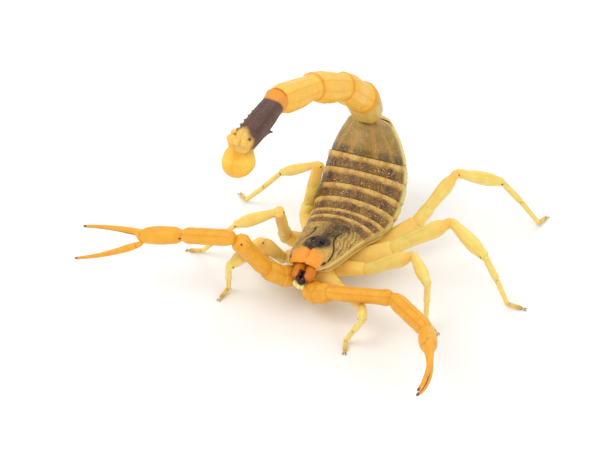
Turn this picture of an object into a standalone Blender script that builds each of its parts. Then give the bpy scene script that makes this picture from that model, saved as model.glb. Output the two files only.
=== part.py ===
"""A desert scorpion standing with its tail arched over its back and its arms open.

The head faces -Y, the animal's left side is +X and the feet stand on Z = 0.
Sizes are in millimetres and become metres as each mesh is made. The origin is
under the middle of the whole animal.
"""

import math

import bmesh
import bpy
from mathutils import Vector

MM = 0.001
GAP = 0.3
FLOOR = 0.0

# Sides of the round sections.
TRUNK_SIDES = 20
TAIL_SIDES = 14
ARM_SIDES = 12
LEG_SIDES = 9

# Trunk sections: x, y, z, pitch in degrees, half width, height above and below the middle line.
TRUNK = [
    (-0.75, -8.8, 7.2, 1, 2.75, 1.55, 1.05),
    (-0.60, -7.8, 7.1, 1, 3.25, 2.2, 1.6),
    (-0.40, -6.6, 7.0, 1, 3.65, 2.65, 1.95),
    (-0.20, -5.1, 6.9, 2, 3.95, 2.9, 2.2),
    (0.05, -2.5, 6.7, 2, 4.4, 2.95, 2.35),
    (0.45, 0.2, 6.6, 3, 4.95, 3.0, 2.4),
    (0.75, 2.5, 6.3, 7, 5.5, 3.1, 2.55),
    (1.05, 4.7, 6.1, 14, 6.15, 3.4, 2.95),
    (1.20, 7.3, 6.7, 22, 6.6, 3.9, 3.5),
    (1.10, 10.1, 7.8, 32, 6.85, 4.3, 4.0),
    (0.85, 12.9, 9.6, 43, 6.8, 4.4, 4.15),
    (0.45, 15.2, 11.6, 52, 6.35, 4.1, 3.9),
    (0.00, 16.9, 13.3, 60, 5.6, 3.5, 3.3),
    (-0.35, 18.0, 15.0, 69, 4.6, 2.9, 2.7),
    (-0.65, 18.6, 16.9, 80, 3.2, 2.3, 2.2),
]
CARAPACE_END = 5
TERGITE_ENDS = [6, 7, 8, 9, 10, 11]
SPLIT_LEVEL = -0.1

# Tail lengths from base to tip: yaw and pitch of each, length, full width and full depth.
TAIL_BASE = (-0.65, 18.2, 18.2)
TAIL = [
    (-87, 51, 7.15, 5.2, 4.7),
    (-99, 42, 8.0, 4.7, 4.3),
    (-105, 27, 8.4, 4.5, 4.2),
    (-101, 17, 9.8, 4.2, 3.9),
    (-95, -6, 11.0, 3.8, 3.5),
]
# Scale of the section along a tail length, for the first four and for the last, and the
# share of the width at which each end meets its neighbour.
TAIL_SHAPE = [(0.0, 0.5), (0.04, 0.72), (0.1, 0.86), (0.28, 0.95), (0.6, 1.0), (0.9, 1.0),
              (0.96, 0.88), (1.0, 0.62)]
LAST_TAIL_SHAPE = [(0.0, 0.5), (0.05, 0.8), (0.3, 0.98), (0.6, 1.0), (0.88, 0.9), (1.0, 0.66)]
TAIL_ENDS = (0.27, 0.33)

# Sting bulb and sting, along their own middle line below the end of the tail.
BULB_PATH = [(-6.75, -19.90, 32.05), (-6.85, -19.50, 31.70), (-6.85, -18.30, 31.30), (-6.80, -17.00, 31.30),
             (-6.65, -15.70, 31.65), (-6.55, -15.00, 31.85)]
BULB_RADII = [0.8, 1.6, 2.15, 2.1, 1.3, 0.65]
BULB_FLATTEN = 0.9
STING_PATH = [(-6.3, -14.6, 31.95), (-5.9, -13.35, 32.25), (-5.5, -12.2, 32.3),
              (-5.25, -11.1, 32.1), (-5.1, -10.2, 31.5)]
STING_RADII = [0.6, 0.52, 0.42, 0.34, 0.26]

# Leg lengths by pair: femur, patella, tibia, basitarsus, tarsus.
LEG_LENGTHS = {
    1: (5.8, 4.5, 2.8, 2.8, 2.0),
    2: (8.4, 6.3, 4.3, 4.8, 2.3),
    3: (10.2, 7.7, 5.2, 5.6, 2.4),
    4: (9.6, 7.7, 5.7, 5.8, 2.5),
}
# Leg radii by pair: trochanter, femur, patella, tibia, basitarsus, tarsus.
LEG_RADII = {
    1: (0.85, 0.75, 0.78, 0.44, 0.35, 0.3),
    2: (0.9, 0.85, 0.92, 0.47, 0.37, 0.3),
    3: (1.05, 0.95, 1.02, 0.52, 0.4, 0.3),
    4: (1.0, 0.9, 0.9, 0.5, 0.37, 0.3),
}
ANKLE_HEIGHT = 0.75
TOE_HEIGHT = 0.24
# Leg poses: coxa end, hip, then yaw and pitch of femur and patella, yaw and pitch of the
# tibia, and yaw of the tarsus. The basitarsus drops by what is left down to the ankle.
LEGS = {
    "leg_left_1": (1, (2.8, -7.2, 4.4), (4.5, -8.0, 4.2), -33, 7, -71, 10, 168, -61, -75),
    "leg_left_2": (2, (3.7, -3.6, 4.5), (7.5, -3.8, 5.6), 1, 34, -52, -4, 105, -76, -27),
    "leg_left_3": (3, (4.8, 0.0, 4.1), (9.8, 1.5, 6.7), 12, 35, -30, -14, 36, -66, 9),
    "leg_left_4": (4, (6.5, 4.6, 3.6), (11.0, 9.0, 6.6), 60, 37, 28, -18, 36, -52, 73),
    "leg_right_1": (1, (-2.8, -7.2, 4.4), (-4.9, -8.0, 4.7), 180, 22, 131, -26, 89, -42, -151),
    "leg_right_2": (2, (-3.8, -3.4, 4.5), (-6.4, -4.0, 3.8), -106, 51, -117, -16, 117, -61, -100),
    "leg_right_3": (3, (-4.2, 0.2, 4.3), (-7.8, 0.8, 3.9), -79, 60, -170, -28, 165, -51, -176),
    "leg_right_4": (4, (-4.7, 3.9, 4.0), (-6.9, 6.7, 4.1), 49, 76, 175, -30, 164, -51, 137),
}

# Arms: start and end of the trochanter, then yaw, pitch and length of femur, patella and
# hand, yaw and pitch at the root and at the tip of the fixed and the moving finger, and
# the side on which the moving finger sits.
ARMS = {
    "arm_right": ((-3.9, -10.1, 5.5), (-5.9, -11.4, 7.35), (-132, 58, 8.8), (176, -16, 9.3),
                  (-176, -14, 7.2), (174, -7), (196, -4), (207, -21), (190, -14), (-75, -30)),
    "arm_left": ((2.2, -11.1, 4.75), (4.1, -11.7, 6.2), (6, 7, 9.9), (-41, 8, 9.6),
                 (-70, 21, 7.2), (-62, -18), (-103, 21), (-63, -5), (-97, 2), (119, 88)),
}
ARM_RADII = {"trochanter": 1.5, "femur": 1.3, "patella": 1.4, "hand": 1.5}
FIXED_FINGER = 9.4
MOVING_FINGER = 10.2
FINGER_RADII = (0.58, 0.27)
# How far the root of each finger sits from the middle of the hand.
FIXED_ROOT = 0.55
MOVING_ROOT = 1.5

# The two jaws sit either side of this line.
CHELICERA_MIDDLE = -0.6
CHELICERA_START = (1.12, -9.1, 6.95)
CHELICERA_END = (0.95, -11.2, 6.35)
CHELICERA_RADIUS = 1.0

EYE_PLACE = (0.78, -5.5, 10.2)
EYE_RADIUS = 0.36


def clear_scene():
    for obj in list(bpy.data.objects):
        bpy.data.objects.remove(obj, do_unlink=True)


def colour(name, rgb, roughness=0.45):
    material = bpy.data.materials.get(name) or bpy.data.materials.new(name)
    material.use_nodes = True
    shader = material.node_tree.nodes["Principled BSDF"]
    shader.inputs["Base Color"].default_value = (*rgb, 1.0)
    shader.inputs["Roughness"].default_value = roughness
    return material


def heading(yaw, pitch):
    yaw, pitch = math.radians(yaw), math.radians(pitch)
    flat = math.cos(pitch)
    return Vector((math.cos(yaw) * flat, math.sin(yaw) * flat, math.sin(pitch)))


def new_object(name, rings, material):
    """One closed body from a list of rings, each ring a list of points."""
    bm = bmesh.new()
    loops = [[bm.verts.new(Vector(p) * MM) for p in ring] for ring in rings]
    count = len(rings[0])
    for low, high in zip(loops, loops[1:]):
        for i in range(count):
            j = (i + 1) % count
            bm.faces.new((low[i], low[j], high[j], high[i]))
    bm.faces.new(list(reversed(loops[0])))
    bm.faces.new(loops[-1])
    bmesh.ops.recalc_face_normals(bm, faces=bm.faces[:])
    mesh = bpy.data.meshes.new(name)
    bm.to_mesh(mesh)
    bm.free()
    mesh.materials.append(material)
    obj = bpy.data.objects.new(name, mesh)
    bpy.context.scene.collection.objects.link(obj)
    mesh.polygons.foreach_set("use_smooth", [len(p.vertices) == 4 for p in mesh.polygons])
    return obj


def oval(centre, side, up, half_width, half_height, sides, turn=0.5):
    points = []
    for i in range(sides):
        angle = 2 * math.pi * (i + turn) / sides
        points.append(centre + side * (half_width * math.cos(angle)) + up * (half_height * math.sin(angle)))
    return points


def path_frames(path, first_up):
    """The side and up directions at each point of a path, each bend shared by its two lengths."""
    frames = []
    up = Vector(first_up)
    for i in range(len(path)):
        before = path[i] - path[max(i - 1, 0)]
        after = path[min(i + 1, len(path) - 1)] - path[i]
        along = (before.normalized() if before.length else after.normalized())
        onward = (after.normalized() if after.length else before.normalized())
        middle = (along + onward).normalized()
        up = (up - middle * up.dot(middle)).normalized()
        frames.append((middle.cross(up), up))
    return frames


def tube(name, path, radii, sides, material, first_up=(0, 0, 1), flatten=1.0):
    """A closed tube along a path. The floor cuts it flat where it dips below."""
    path = [Vector(p) for p in path]
    rings = []
    for centre, radius, (side, up) in zip(path, radii, path_frames(path, first_up)):
        ring = oval(centre, side, up, radius, radius * flatten, sides)
        rings.append([Vector((p.x, p.y, max(p.z, FLOOR))) for p in ring])
    return new_object(name, rings, material)


def length_path(start, end, trim_start, trim_end, shape):
    """Points and scales along one straight length, trimmed at each end."""
    along = (end - start).normalized()
    near = start + along * trim_start
    far = end - along * trim_end
    return [(near.lerp(far, t), scale) for t, scale in shape]


def end_trim(before, after, end_radius):
    """How far a length stops before a joint, so its end keeps half a gap from the middle plane."""
    half_bend = min(before.angle(after) / 2, math.radians(65))
    return end_radius * math.tan(half_bend) + GAP / 2 / math.cos(half_bend)


def trunk_section(row, upper, setback):
    """Half of a trunk section, as points from its left edge over to its right edge."""
    x, y, z, pitch, width, above, below = TRUNK[row]
    pitch = math.radians(pitch)
    along = Vector((0, math.cos(pitch), math.sin(pitch)))
    up = Vector((0, -math.sin(pitch), math.cos(pitch)))
    centre = Vector((x, y, z)) + along * setback
    level = SPLIT_LEVEL + (GAP / 2 if upper else -GAP / 2)
    start = math.asin(level / (above if upper else below)) if upper else math.asin(-level / below)
    points = []
    steps = TRUNK_SIDES // 2
    for i in range(steps + 1):
        angle = start + (math.pi - 2 * start) * i / steps
        height = above * math.sin(angle) if upper else -below * math.sin(angle)
        points.append(centre + Vector((width * math.cos(angle), 0, 0)) + up * height)
    return points


def trunk_band(name, first, last, upper, material):
    """One plate of the trunk between two rows, a thin cut shorter than the space it fills."""
    steps = last - first
    rings = []
    for i in range(steps + 1):
        setback = GAP / 2 if i == 0 else (-GAP / 2 if i == steps else 0.0)
        rings.append(trunk_section(first + i, upper, setback))
    return new_object(name, rings, material)


def whole_band(name, first, last, material):
    """The last trunk segment, closed all round."""
    rings = []
    steps = int(last - first)
    for i in range(steps + 1):
        x, y, z, pitch, width, above, below = TRUNK[first + i]
        pitch = math.radians(pitch)
        along = Vector((0, math.cos(pitch), math.sin(pitch)))
        up = Vector((0, -math.sin(pitch), math.cos(pitch)))
        centre = Vector((x, y, z)) + along * (GAP / 2 if i == 0 else 0.0)
        ring = []
        for k in range(TRUNK_SIDES):
            angle = 2 * math.pi * (k + 0.5) / TRUNK_SIDES
            height = (above if math.sin(angle) > 0 else below) * math.sin(angle)
            ring.append(centre + Vector((width * math.cos(angle), 0, 0)) + up * height)
        rings.append(ring)
    return new_object(name, rings, material)


def build_trunk():
    shell = colour("shell", (0.42, 0.27, 0.1))
    head = colour("head_shield", (0.72, 0.36, 0.1))
    pale = colour("underside", (0.78, 0.62, 0.3))
    trunk_band("carapace", 0, CARAPACE_END, True, head)
    start = CARAPACE_END
    for number, end in enumerate(TERGITE_ENDS, 1):
        trunk_band(f"tergite_{number}", start, end, True, shell)
        start = end
    trunk_band("coxal_plate", 0, 7, False, pale)
    for number, (first, last) in enumerate([(7, 8), (8, 9), (9, 11)], 3):
        trunk_band(f"sternite_{number}", first, last, False, pale)
    whole_band("segment_7", 11, len(TRUNK) - 1, shell)


def build_tail():
    amber = colour("tail_amber", (0.86, 0.5, 0.08))
    dark = colour("tail_dark", (0.1, 0.055, 0.04))
    joints = [Vector(TAIL_BASE)]
    for yaw, pitch, length, _, _ in TAIL:
        joints.append(joints[-1] + heading(yaw, pitch) * length)
    for number, (yaw, pitch, length, width, depth) in enumerate(TAIL, 1):
        last = number == len(TAIL)
        along = heading(yaw, pitch)
        trims = [GAP, GAP]
        if number > 1:
            trims[0] = end_trim(heading(*TAIL[number - 2][:2]), along, width * TAIL_ENDS[0])
        if not last:
            trims[1] = end_trim(along, heading(*TAIL[number][:2]), width * TAIL_ENDS[1])
        shape = LAST_TAIL_SHAPE if last else TAIL_SHAPE
        stations = length_path(joints[number - 1], joints[number], *trims, shape)
        side = along.cross(Vector((0, 0, 1))).normalized()
        up = side.cross(along)
        rings = [oval(p, side, up, s * width / 2, s * depth / 2, TAIL_SIDES) for p, s in stations]
        new_object(f"tail_{number}", rings, dark if last else amber)
    yellow = colour("bulb_yellow", (0.9, 0.62, 0.12))
    tube("sting_bulb", BULB_PATH, BULB_RADII, TAIL_SIDES, yellow, flatten=BULB_FLATTEN)
    tube("sting", STING_PATH, STING_RADII, 8, dark)


def leg_joints(pair, hip, pose):
    """Hip, knee, patella end, tibia end, ankle and toe of one leg."""
    femur, patella, tibia, basitarsus, tarsus = LEG_LENGTHS[pair]
    yaw_f, pitch_f, yaw_p, pitch_p, yaw_t, pitch_t, yaw_toe = pose
    joints = [Vector(hip)]
    joints.append(joints[-1] + heading(yaw_f, pitch_f) * femur)
    joints.append(joints[-1] + heading(yaw_p, pitch_p) * patella)
    joints.append(joints[-1] + heading(yaw_t, pitch_t) * tibia)
    drop = max(-0.98, (ANKLE_HEIGHT - joints[-1].z) / basitarsus)
    joints.append(joints[-1] + heading(yaw_t, math.degrees(math.asin(drop))) * basitarsus)
    toe = math.degrees(math.asin((TOE_HEIGHT - joints[-1].z) / tarsus))
    joints.append(joints[-1] + heading(yaw_toe, toe) * tarsus)
    return joints


def build_leg(name, pair, coxa, hip, *pose):
    straw = colour("leg_straw", (0.85, 0.66, 0.24))
    r_troch, r_femur, r_patella, r_tibia, r_basi, r_toe = LEG_RADII[pair]
    coxa = Vector(coxa)
    hip, knee, shin, heel, ankle, toe = leg_joints(pair, hip, pose)
    upper, lower, tibia = knee - hip, shin - knee, heel - shin
    knee_trim = end_trim(upper, lower, r_patella * 0.6)
    shin_trim = end_trim(lower, tibia, r_tibia * 0.6)
    femur = [(coxa, r_troch * 0.8), (coxa.lerp(hip, 0.3), r_troch), (hip, r_troch * 0.82)]
    shape = [(0.12, 0.9), (0.45, 1.0), (0.85, 1.08), (0.95, 0.9), (1.0, 0.55)]
    for point, scale in length_path(hip, knee, 0.0, knee_trim, shape):
        femur.append((point, r_femur * scale))
    tube(f"{name}_femur", *zip(*femur), LEG_SIDES, straw)
    shape = [(0.0, 0.55), (0.07, 0.85), (0.4, 1.0), (0.8, 0.95), (0.95, 0.8), (1.0, 0.5)]
    patella = [(p, r_patella * s) for p, s in length_path(knee, shin, knee_trim, shin_trim, shape)]
    tube(f"{name}_patella", *zip(*patella), LEG_SIDES, straw)
    start = shin + tibia.normalized() * shin_trim
    foot = [(start, r_tibia * 0.55), (start.lerp(heel, 0.12), r_tibia * 0.9),
            (start.lerp(heel, 0.6), r_tibia), (start.lerp(heel, 0.93), r_tibia * 0.85),
            (heel.lerp(ankle, 0.1), r_basi), (heel.lerp(ankle, 0.8), r_basi * 0.9),
            (ankle, r_toe), (ankle.lerp(toe, 0.5), r_toe), (ankle.lerp(toe, 0.85), r_toe * 0.95),
            (toe, r_toe * 0.8)]
    tube(f"{name}_foot", *zip(*foot), LEG_SIDES - 1, straw)


def build_arm(name, coxa, trochanter, femur, patella, hand, *fingers):
    amber = colour("arm_amber", (0.88, 0.48, 0.1))
    start, shoulder = Vector(coxa), Vector(trochanter)
    elbow = shoulder + heading(*femur[:2]) * femur[2]
    wrist = elbow + heading(*patella[:2]) * patella[2]
    palm = wrist + heading(*hand[:2]) * hand[2]
    tube(f"{name}_trochanter",
         *zip(*[(p, ARM_RADII["trochanter"] * s) for p, s in length_path(
             start, shoulder, 0.0, end_trim(shoulder - start, elbow - shoulder, 0.8),
             [(0.0, 0.75), (0.3, 1.0), (0.8, 0.95), (1.0, 0.55)])]), ARM_SIDES, amber)
    joints = [start, shoulder, elbow, wrist, palm]
    shapes = {
        "femur": [(0.0, 0.55), (0.08, 0.8), (0.4, 1.0), (0.85, 1.05), (0.96, 0.85), (1.0, 0.55)],
        "patella": [(0.0, 0.5), (0.08, 0.85), (0.35, 1.0), (0.75, 0.97), (0.95, 0.8), (1.0, 0.5)],
    }
    for k, piece in ((1, "femur"), (2, "patella")):
        radius = ARM_RADII[piece]
        before, along, after = [joints[i + 1] - joints[i] for i in (k - 1, k, k + 1)]
        stations = length_path(joints[k], joints[k + 1], end_trim(before, along, radius * 0.58),
                               end_trim(along, after, radius * 0.58), shapes[piece])
        tube(f"{name}_{piece}", *zip(*[(p, radius * s) for p, s in stations]), ARM_SIDES, amber,
             flatten=0.88)
    build_hand(name, wrist, palm, patella, hand, fingers, amber)


def finger_path(root, ends, length, steps):
    """A curved finger whose heading turns evenly from its root to its tip."""
    (yaw0, pitch0), (yaw1, pitch1) = ends
    points = [root]
    for i in range(steps):
        t = (i + 0.5) / steps
        points.append(points[-1] + heading(yaw0 + (yaw1 - yaw0) * t, pitch0 + (pitch1 - pitch0) * t)
                      * (length / steps))
    return points


def build_hand(name, wrist, palm, patella, hand, fingers, material):
    """The hand with its fixed finger as one piece, and the moving finger beside it."""
    fixed, moving, moving_side = fingers[:2], fingers[2:4], heading(*fingers[4])
    along = heading(*hand[:2])
    radius = ARM_RADII["hand"]
    trim = end_trim(heading(*patella[:2]), along, radius * 0.5)
    across = (moving_side - along * moving_side.dot(along)).normalized()
    shape = [(0.0, 0.5), (0.08, 0.82), (0.3, 1.0), (0.7, 1.0), (0.92, 0.8)]
    stations = [(p, radius * s) for p, s in length_path(wrist, palm, trim, 0.0, shape)]
    root = palm - across * FIXED_ROOT
    thick, thin = FINGER_RADII
    steps = 6
    for i, point in enumerate(finger_path(root + along * 0.6, fixed, FIXED_FINGER - 0.6, steps)):
        stations.append((point, thick + (thin - thick) * i / steps))
    tube(f"{name}_hand", *zip(*stations), ARM_SIDES, material)
    root = palm + across * MOVING_ROOT + along * 0.1
    points = finger_path(root, moving, MOVING_FINGER, steps + 1)
    radii = [thick * 0.8] + [thick + (thin - thick) * i / steps for i in range(steps + 1)]
    tube(f"{name}_finger", points, radii, ARM_SIDES - 4, material)


def build_face():
    horn = colour("jaw", (0.8, 0.42, 0.12))
    black = colour("eye_black", (0.01, 0.01, 0.012), 0.08)
    for side, word in ((1, "left"), (-1, "right")):
        start = Vector(CHELICERA_START)
        end = Vector(CHELICERA_END)
        start.x = CHELICERA_MIDDLE + start.x * side
        end.x = CHELICERA_MIDDLE + end.x * side
        shape = [(0.0, 0.8), (0.3, 1.0), (0.6, 0.98), (0.85, 0.75), (1.0, 0.4)]
        path = [(start.lerp(end, t), CHELICERA_RADIUS * s) for t, s in shape]
        tube(f"chelicera_{word}", *zip(*path), ARM_SIDES, horn)
        build_eye(f"eye_{word}", side, black)


def build_eye(name, side, material):
    x, y, z = EYE_PLACE
    bm = bmesh.new()
    bmesh.ops.create_uvsphere(bm, u_segments=10, v_segments=6, radius=EYE_RADIUS * MM)
    bmesh.ops.translate(bm, vec=Vector((x * side, y, z)) * MM, verts=bm.verts[:])
    mesh = bpy.data.meshes.new(name)
    bm.to_mesh(mesh)
    bm.free()
    mesh.materials.append(material)
    mesh.polygons.foreach_set("use_smooth", [True] * len(mesh.polygons))
    bpy.context.scene.collection.objects.link(bpy.data.objects.new(name, mesh))


def build_pectines():
    """The two combs under the belly, each a bent bar with a toothed edge."""
    pale = colour("comb", (0.88, 0.72, 0.4))
    for side, word in ((1, "left"), (-1, "right")):
        root = Vector((0.7 * side, 2.6, 2.9))
        along = Vector((0.8 * side, 0.62, -0.14)).normalized()
        back = Vector((-0.5 * side, 0.85, 0.0))
        back = (back - along * back.dot(along)).normalized()
        up = Vector((0, 0, 1))
        rings = []
        teeth = 12
        for i in range(2 * teeth + 1):
            t = i / (2 * teeth)
            taper = 1.0 - 0.45 * t
            reach = (1.35 if i % 2 else 0.8) * taper
            here = root + along * (5.4 * t) + back * (0.5 * t * t)
            rings.append([here - up * 0.28, here - up * 0.28 + back * reach,
                          here + up * 0.28 + back * reach, here + up * 0.28])
        new_object(f"pecten_{word}", rings, pale)


def put_origin_under_middle():
    corners = [v.co for obj in bpy.data.objects for v in obj.data.vertices]
    low = Vector([min(c[k] for c in corners) for k in range(3)])
    high = Vector([max(c[k] for c in corners) for k in range(3)])
    shift = Vector((-(low.x + high.x) / 2, -(low.y + high.y) / 2, -low.z))
    for obj in bpy.data.objects:
        for vertex in obj.data.vertices:
            vertex.co += shift
    print("shift in mm", [round(v / MM, 3) for v in shift])
    print("size in mm", [round(v / MM, 2) for v in high - low])


def main():
    clear_scene()
    build_trunk()
    build_face()
    build_pectines()
    build_tail()
    for name, row in LEGS.items():
        build_leg(name, *row)
    for name, row in ARMS.items():
        build_arm(name, *row)
    put_origin_under_middle()


main()
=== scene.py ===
# %% [markdown]
# # A life-size desert scorpion
# The scorpion stands with its pincers open and its tail arched forward over its back.
# Every place on it is measured from the solid model, so the first step loads that model.
# Lengths are in millimetres until a mesh is written.

# %% Load the solid model
import math

import bmesh
import bpy
import numpy as np
from mathutils import Matrix, Vector


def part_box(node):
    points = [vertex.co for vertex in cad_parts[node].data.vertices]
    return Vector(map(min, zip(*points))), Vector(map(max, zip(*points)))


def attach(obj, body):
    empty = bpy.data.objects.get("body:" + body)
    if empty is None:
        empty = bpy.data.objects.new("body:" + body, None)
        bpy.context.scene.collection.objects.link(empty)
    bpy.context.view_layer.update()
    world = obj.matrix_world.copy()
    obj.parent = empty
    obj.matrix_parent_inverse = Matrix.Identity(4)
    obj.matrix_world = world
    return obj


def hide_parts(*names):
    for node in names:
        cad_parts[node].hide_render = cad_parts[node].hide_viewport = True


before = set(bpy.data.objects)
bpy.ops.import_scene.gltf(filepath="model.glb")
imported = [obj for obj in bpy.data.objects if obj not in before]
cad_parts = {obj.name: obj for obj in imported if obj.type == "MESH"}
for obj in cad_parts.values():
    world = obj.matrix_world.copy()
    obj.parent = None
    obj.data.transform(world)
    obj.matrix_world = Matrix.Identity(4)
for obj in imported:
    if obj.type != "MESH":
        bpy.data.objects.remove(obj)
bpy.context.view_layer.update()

MM = 0.001
rng = np.random.default_rng(7)
print("solid nodes:", len(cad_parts))

# %% [markdown]
# ## Reading the rings of a solid
# Each solid was lofted through rings of points. Walking over the mesh from one flat end,
# a step at a time, finds those rings again, and they give every limb its middle line
# and its thickness. This is why no position of a limb has to be typed in here.

# %% Rings of a solid
WELD = 0.002


def flat_patches(bm):
    """Groups of neighbouring faces that lie in one plane."""
    seen, patches = set(), []
    for face in bm.faces:
        if face in seen:
            continue
        patch, front = {face}, [face]
        while front:
            for edge in front.pop().edges:
                for other in edge.link_faces:
                    if other not in patch and other.normal.dot(face.normal) > 0.9999:
                        patch.add(other)
                        front.append(other)
        seen |= patch
        patches.append(patch)
    return patches


def layers(patch):
    """The rings met one after another when walking away from an end."""
    ring = {v for face in patch for v in face.verts}
    seen, rings = set(ring), [ring]
    while True:
        ring = {e.other_vert(v) for v in ring for e in v.link_edges} - seen
        if not ring:
            return rings
        seen |= ring
        rings.append(ring)


def rings_of(node, start):
    """Rings of a solid as point arrays in mm, from the end nearest to start."""
    bm = bmesh.new()
    bm.from_mesh(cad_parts[node].data)
    bmesh.ops.remove_doubles(bm, verts=bm.verts[:], dist=WELD * MM)
    bm.normal_update()
    found = []
    for patch in flat_patches(bm):
        rings = layers(patch)
        if len({len(ring) for ring in rings}) == 1 and len(patch) == len(rings[0]) - 2 > 3:
            found.append([np.array(sorted(v.co[:] for v in ring)) / MM for ring in rings])
    bm.free()
    return min(found, key=lambda rings: np.linalg.norm(rings[0].mean(0) - start))


print("the head shield has", len(rings_of("carapace", np.zeros(3))), "rings")

# %% [markdown]
# ## Soft steps, bumps and grains
# All relief on the shell is a sum of a few simple curves. A soft step starts or ends a
# feature, a bell makes a keel or a groove, and grains are bells at scattered places.

# %% Soft steps, bumps and grains
def unit(v):
    """The same direction at length 1."""
    return v / np.linalg.norm(v, axis=-1, keepdims=True)


def smooth(x, low=0.0, high=1.0):
    """A soft step from 0 at low to 1 at high."""
    x = np.clip((x - low) / (high - low), 0, 1)
    return x * x * (3 - 2 * x)


def bell(x, width):
    """A soft bump that is 1 where x is 0."""
    return np.exp(-(x / width) ** 2)


def turned_from(angle, where):
    """How far an angle lies round from another, from minus to plus half a turn."""
    return (angle - where + math.pi) % (2 * math.pi) - math.pi


def crowded(v, share):
    """Steps from 0 to 1 that stand closer together at both ends."""
    return (1 - share) * v + share * (1 - np.cos(math.pi * v)) / 2


def scatter(i, j, seed):
    """A repeatable random number from 0 to 1 for each cell of a net."""
    wave = np.sin(i * 12.9898 + j * 78.233 + seed * 37.719) * 43758.5453
    return wave - np.floor(wave)


def grains(a, b, pitch, seed=0.0):
    """Small rounded bumps at scattered places on a surface, as heights from 0 to 1."""
    i, j = np.floor(a / pitch), np.floor(b / pitch)
    height = np.zeros_like(a)
    for di in (-1, 0, 1):
        for dj in (-1, 0, 1):
            x = (i + di + 0.2 + 0.6 * scatter(i + di, j + dj, seed)) * pitch
            y = (j + dj + 0.2 + 0.6 * scatter(i + di, j + dj, seed + 1)) * pitch
            size = 0.4 + 0.6 * scatter(i + di, j + dj, seed + 2)
            far = (a - x) ** 2 + (b - y) ** 2
            height = np.maximum(height, size * np.exp(-far / (0.06 * pitch**2)))
    return height


print("a bell is 1 at its middle and", round(float(bell(1.0, 1.0)), 2), "one width away")

# %% [markdown]
# A limb's middle line, and the trunk's changing section, are smooth curves through the
# measured values. Beyond both ends the curve goes on straight, so that a part can reach
# a little way into its neighbour.

# %% Smooth curves
def curve(keys, values):
    """A smooth curve through values at the keys, straight beyond both ends."""
    keys = np.array(keys, float)
    values = np.array(values, float).reshape(len(keys), -1)
    slopes = np.gradient(values, keys, axis=0)

    def at(t):
        t = np.asarray(t, float)
        i = np.clip(np.searchsorted(keys, t) - 1, 0, len(keys) - 2)
        step = (keys[i + 1] - keys[i])[..., None]
        x = (t - keys[i])[..., None] / step
        y = np.clip(x, 0, 1)
        a, b, m, n = values[i], values[i + 1], slopes[i] * step, slopes[i + 1] * step
        inside = a * (2 * y**3 - 3 * y**2 + 1) + m * (y**3 - 2 * y**2 + y)
        inside = inside + b * (3 * y**2 - 2 * y**3) + n * (y**3 - y**2)
        return inside + (x - y) * np.where(x < 0, m, n)
    return at


def lengths_along(points):
    """The distance of each point from the first, along the line through them."""
    return np.concatenate([[0], np.cumsum(np.linalg.norm(np.diff(points, axis=0), axis=1))])


def measured(rings):
    """Centres and radii of a limb's rings."""
    centres = np.array([ring.mean(0) for ring in rings])
    radii = [np.linalg.norm(ring - centre, axis=1).mean() for ring, centre in zip(rings, centres)]
    return centres, np.array(radii)


def line_through(points, radii):
    """A smooth middle line through points, with its radii, and the points' distances."""
    points = np.array(points, float)
    keys = lengths_along(points)
    return curve(keys, np.column_stack([points, radii])), keys


print("a curve through 0, 1 and 4 passes", round(float(curve([0, 1, 2], [0, 1, 4])(1.5)[0]), 2))

# %% [markdown]
# ## Making a surface
# A flat grid from the grid operator is wrapped round a limb or laid over the back by
# giving each of its points a new place. An extruded ring would also make a limb, but a
# grid can bend, swell and take keels in one step. Four painted weights go with the
# points: ridge for keels, tone for dark places, glow for pale ones and rim for edges.

# %% Grid surfaces
MARKS = ("ridge", "tone", "glow", "rim")


def new_mesh():
    bm = bmesh.new()
    bm.loops.layers.uv.new("UVMap")
    for mark in MARKS:
        bm.verts.layers.float.new(mark)
    return bm


def set_marks(bm, verts, marks):
    """Writes painted weights, each one value for all vertices or one for each."""
    for mark, values in marks.items():
        layer = bm.verts.layers.float[mark]
        for vertex, value in zip(verts, np.broadcast_to(values, len(verts)).tolist()):
            vertex[layer] = value


def add_grid(bm, across, along, place):
    """Adds a grid whose points go where place(u, v) says, with their marks."""
    made = bmesh.ops.create_grid(bm, x_segments=across, y_segments=along, size=0.5, calc_uvs=True)["verts"]
    uv = np.array([v.co[:2] for v in made]) + 0.5
    points, marks = place(uv[:, 0], uv[:, 1])
    for vertex, point in zip(made, (points * MM).tolist()):
        vertex.co = point
    set_marks(bm, made, marks)
    bmesh.ops.remove_doubles(bm, verts=made, dist=0.0005 * MM)


def finish(name, bm, material, nodes, thickness=0.0):
    """Turns a mesh outwards, makes it a smooth object and hides the solids that it replaces."""
    bmesh.ops.recalc_face_normals(bm, faces=bm.faces[:])
    mesh = bpy.data.meshes.new(name)
    bm.to_mesh(mesh)
    bm.free()
    mesh.materials.append(material)
    mesh.shade_smooth()
    piece = bpy.data.objects.new(name, mesh)
    bpy.context.scene.collection.objects.link(piece)
    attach(piece, "root")
    if nodes:
        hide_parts(*nodes)
    if thickness:
        wall = piece.modifiers.new("wall", "SOLIDIFY")
        wall.thickness = thickness * MM
        wall.offset = -1


def sheet(name, across, along, place, material, nodes, thickness):
    """One grid surface made a piece. It gets a wall unless thickness is 0."""
    bm = new_mesh()
    add_grid(bm, across, along, place)
    finish(name, bm, material, nodes, thickness)


print("marks on every surface:", ", ".join(MARKS))

# %% [markdown]
# A limb is a grid rolled into a tube round its middle line and closed by two rounded
# ends. Keels are bells in the radius at fixed angles, and a keel with a tooth spacing
# rises and falls along its length.

# %% Tubes
UP = np.array([0.0, 0.0, 1.0])


def frames(at, s):
    """Middle line points and the side and up directions at distances s along a limb."""
    along = unit(at(s + 0.05)[:, :3] - at(s - 0.05)[:, :3])
    side = unit(np.cross(along, UP))
    return at(s)[:, :3], side, np.cross(side, along)


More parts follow.
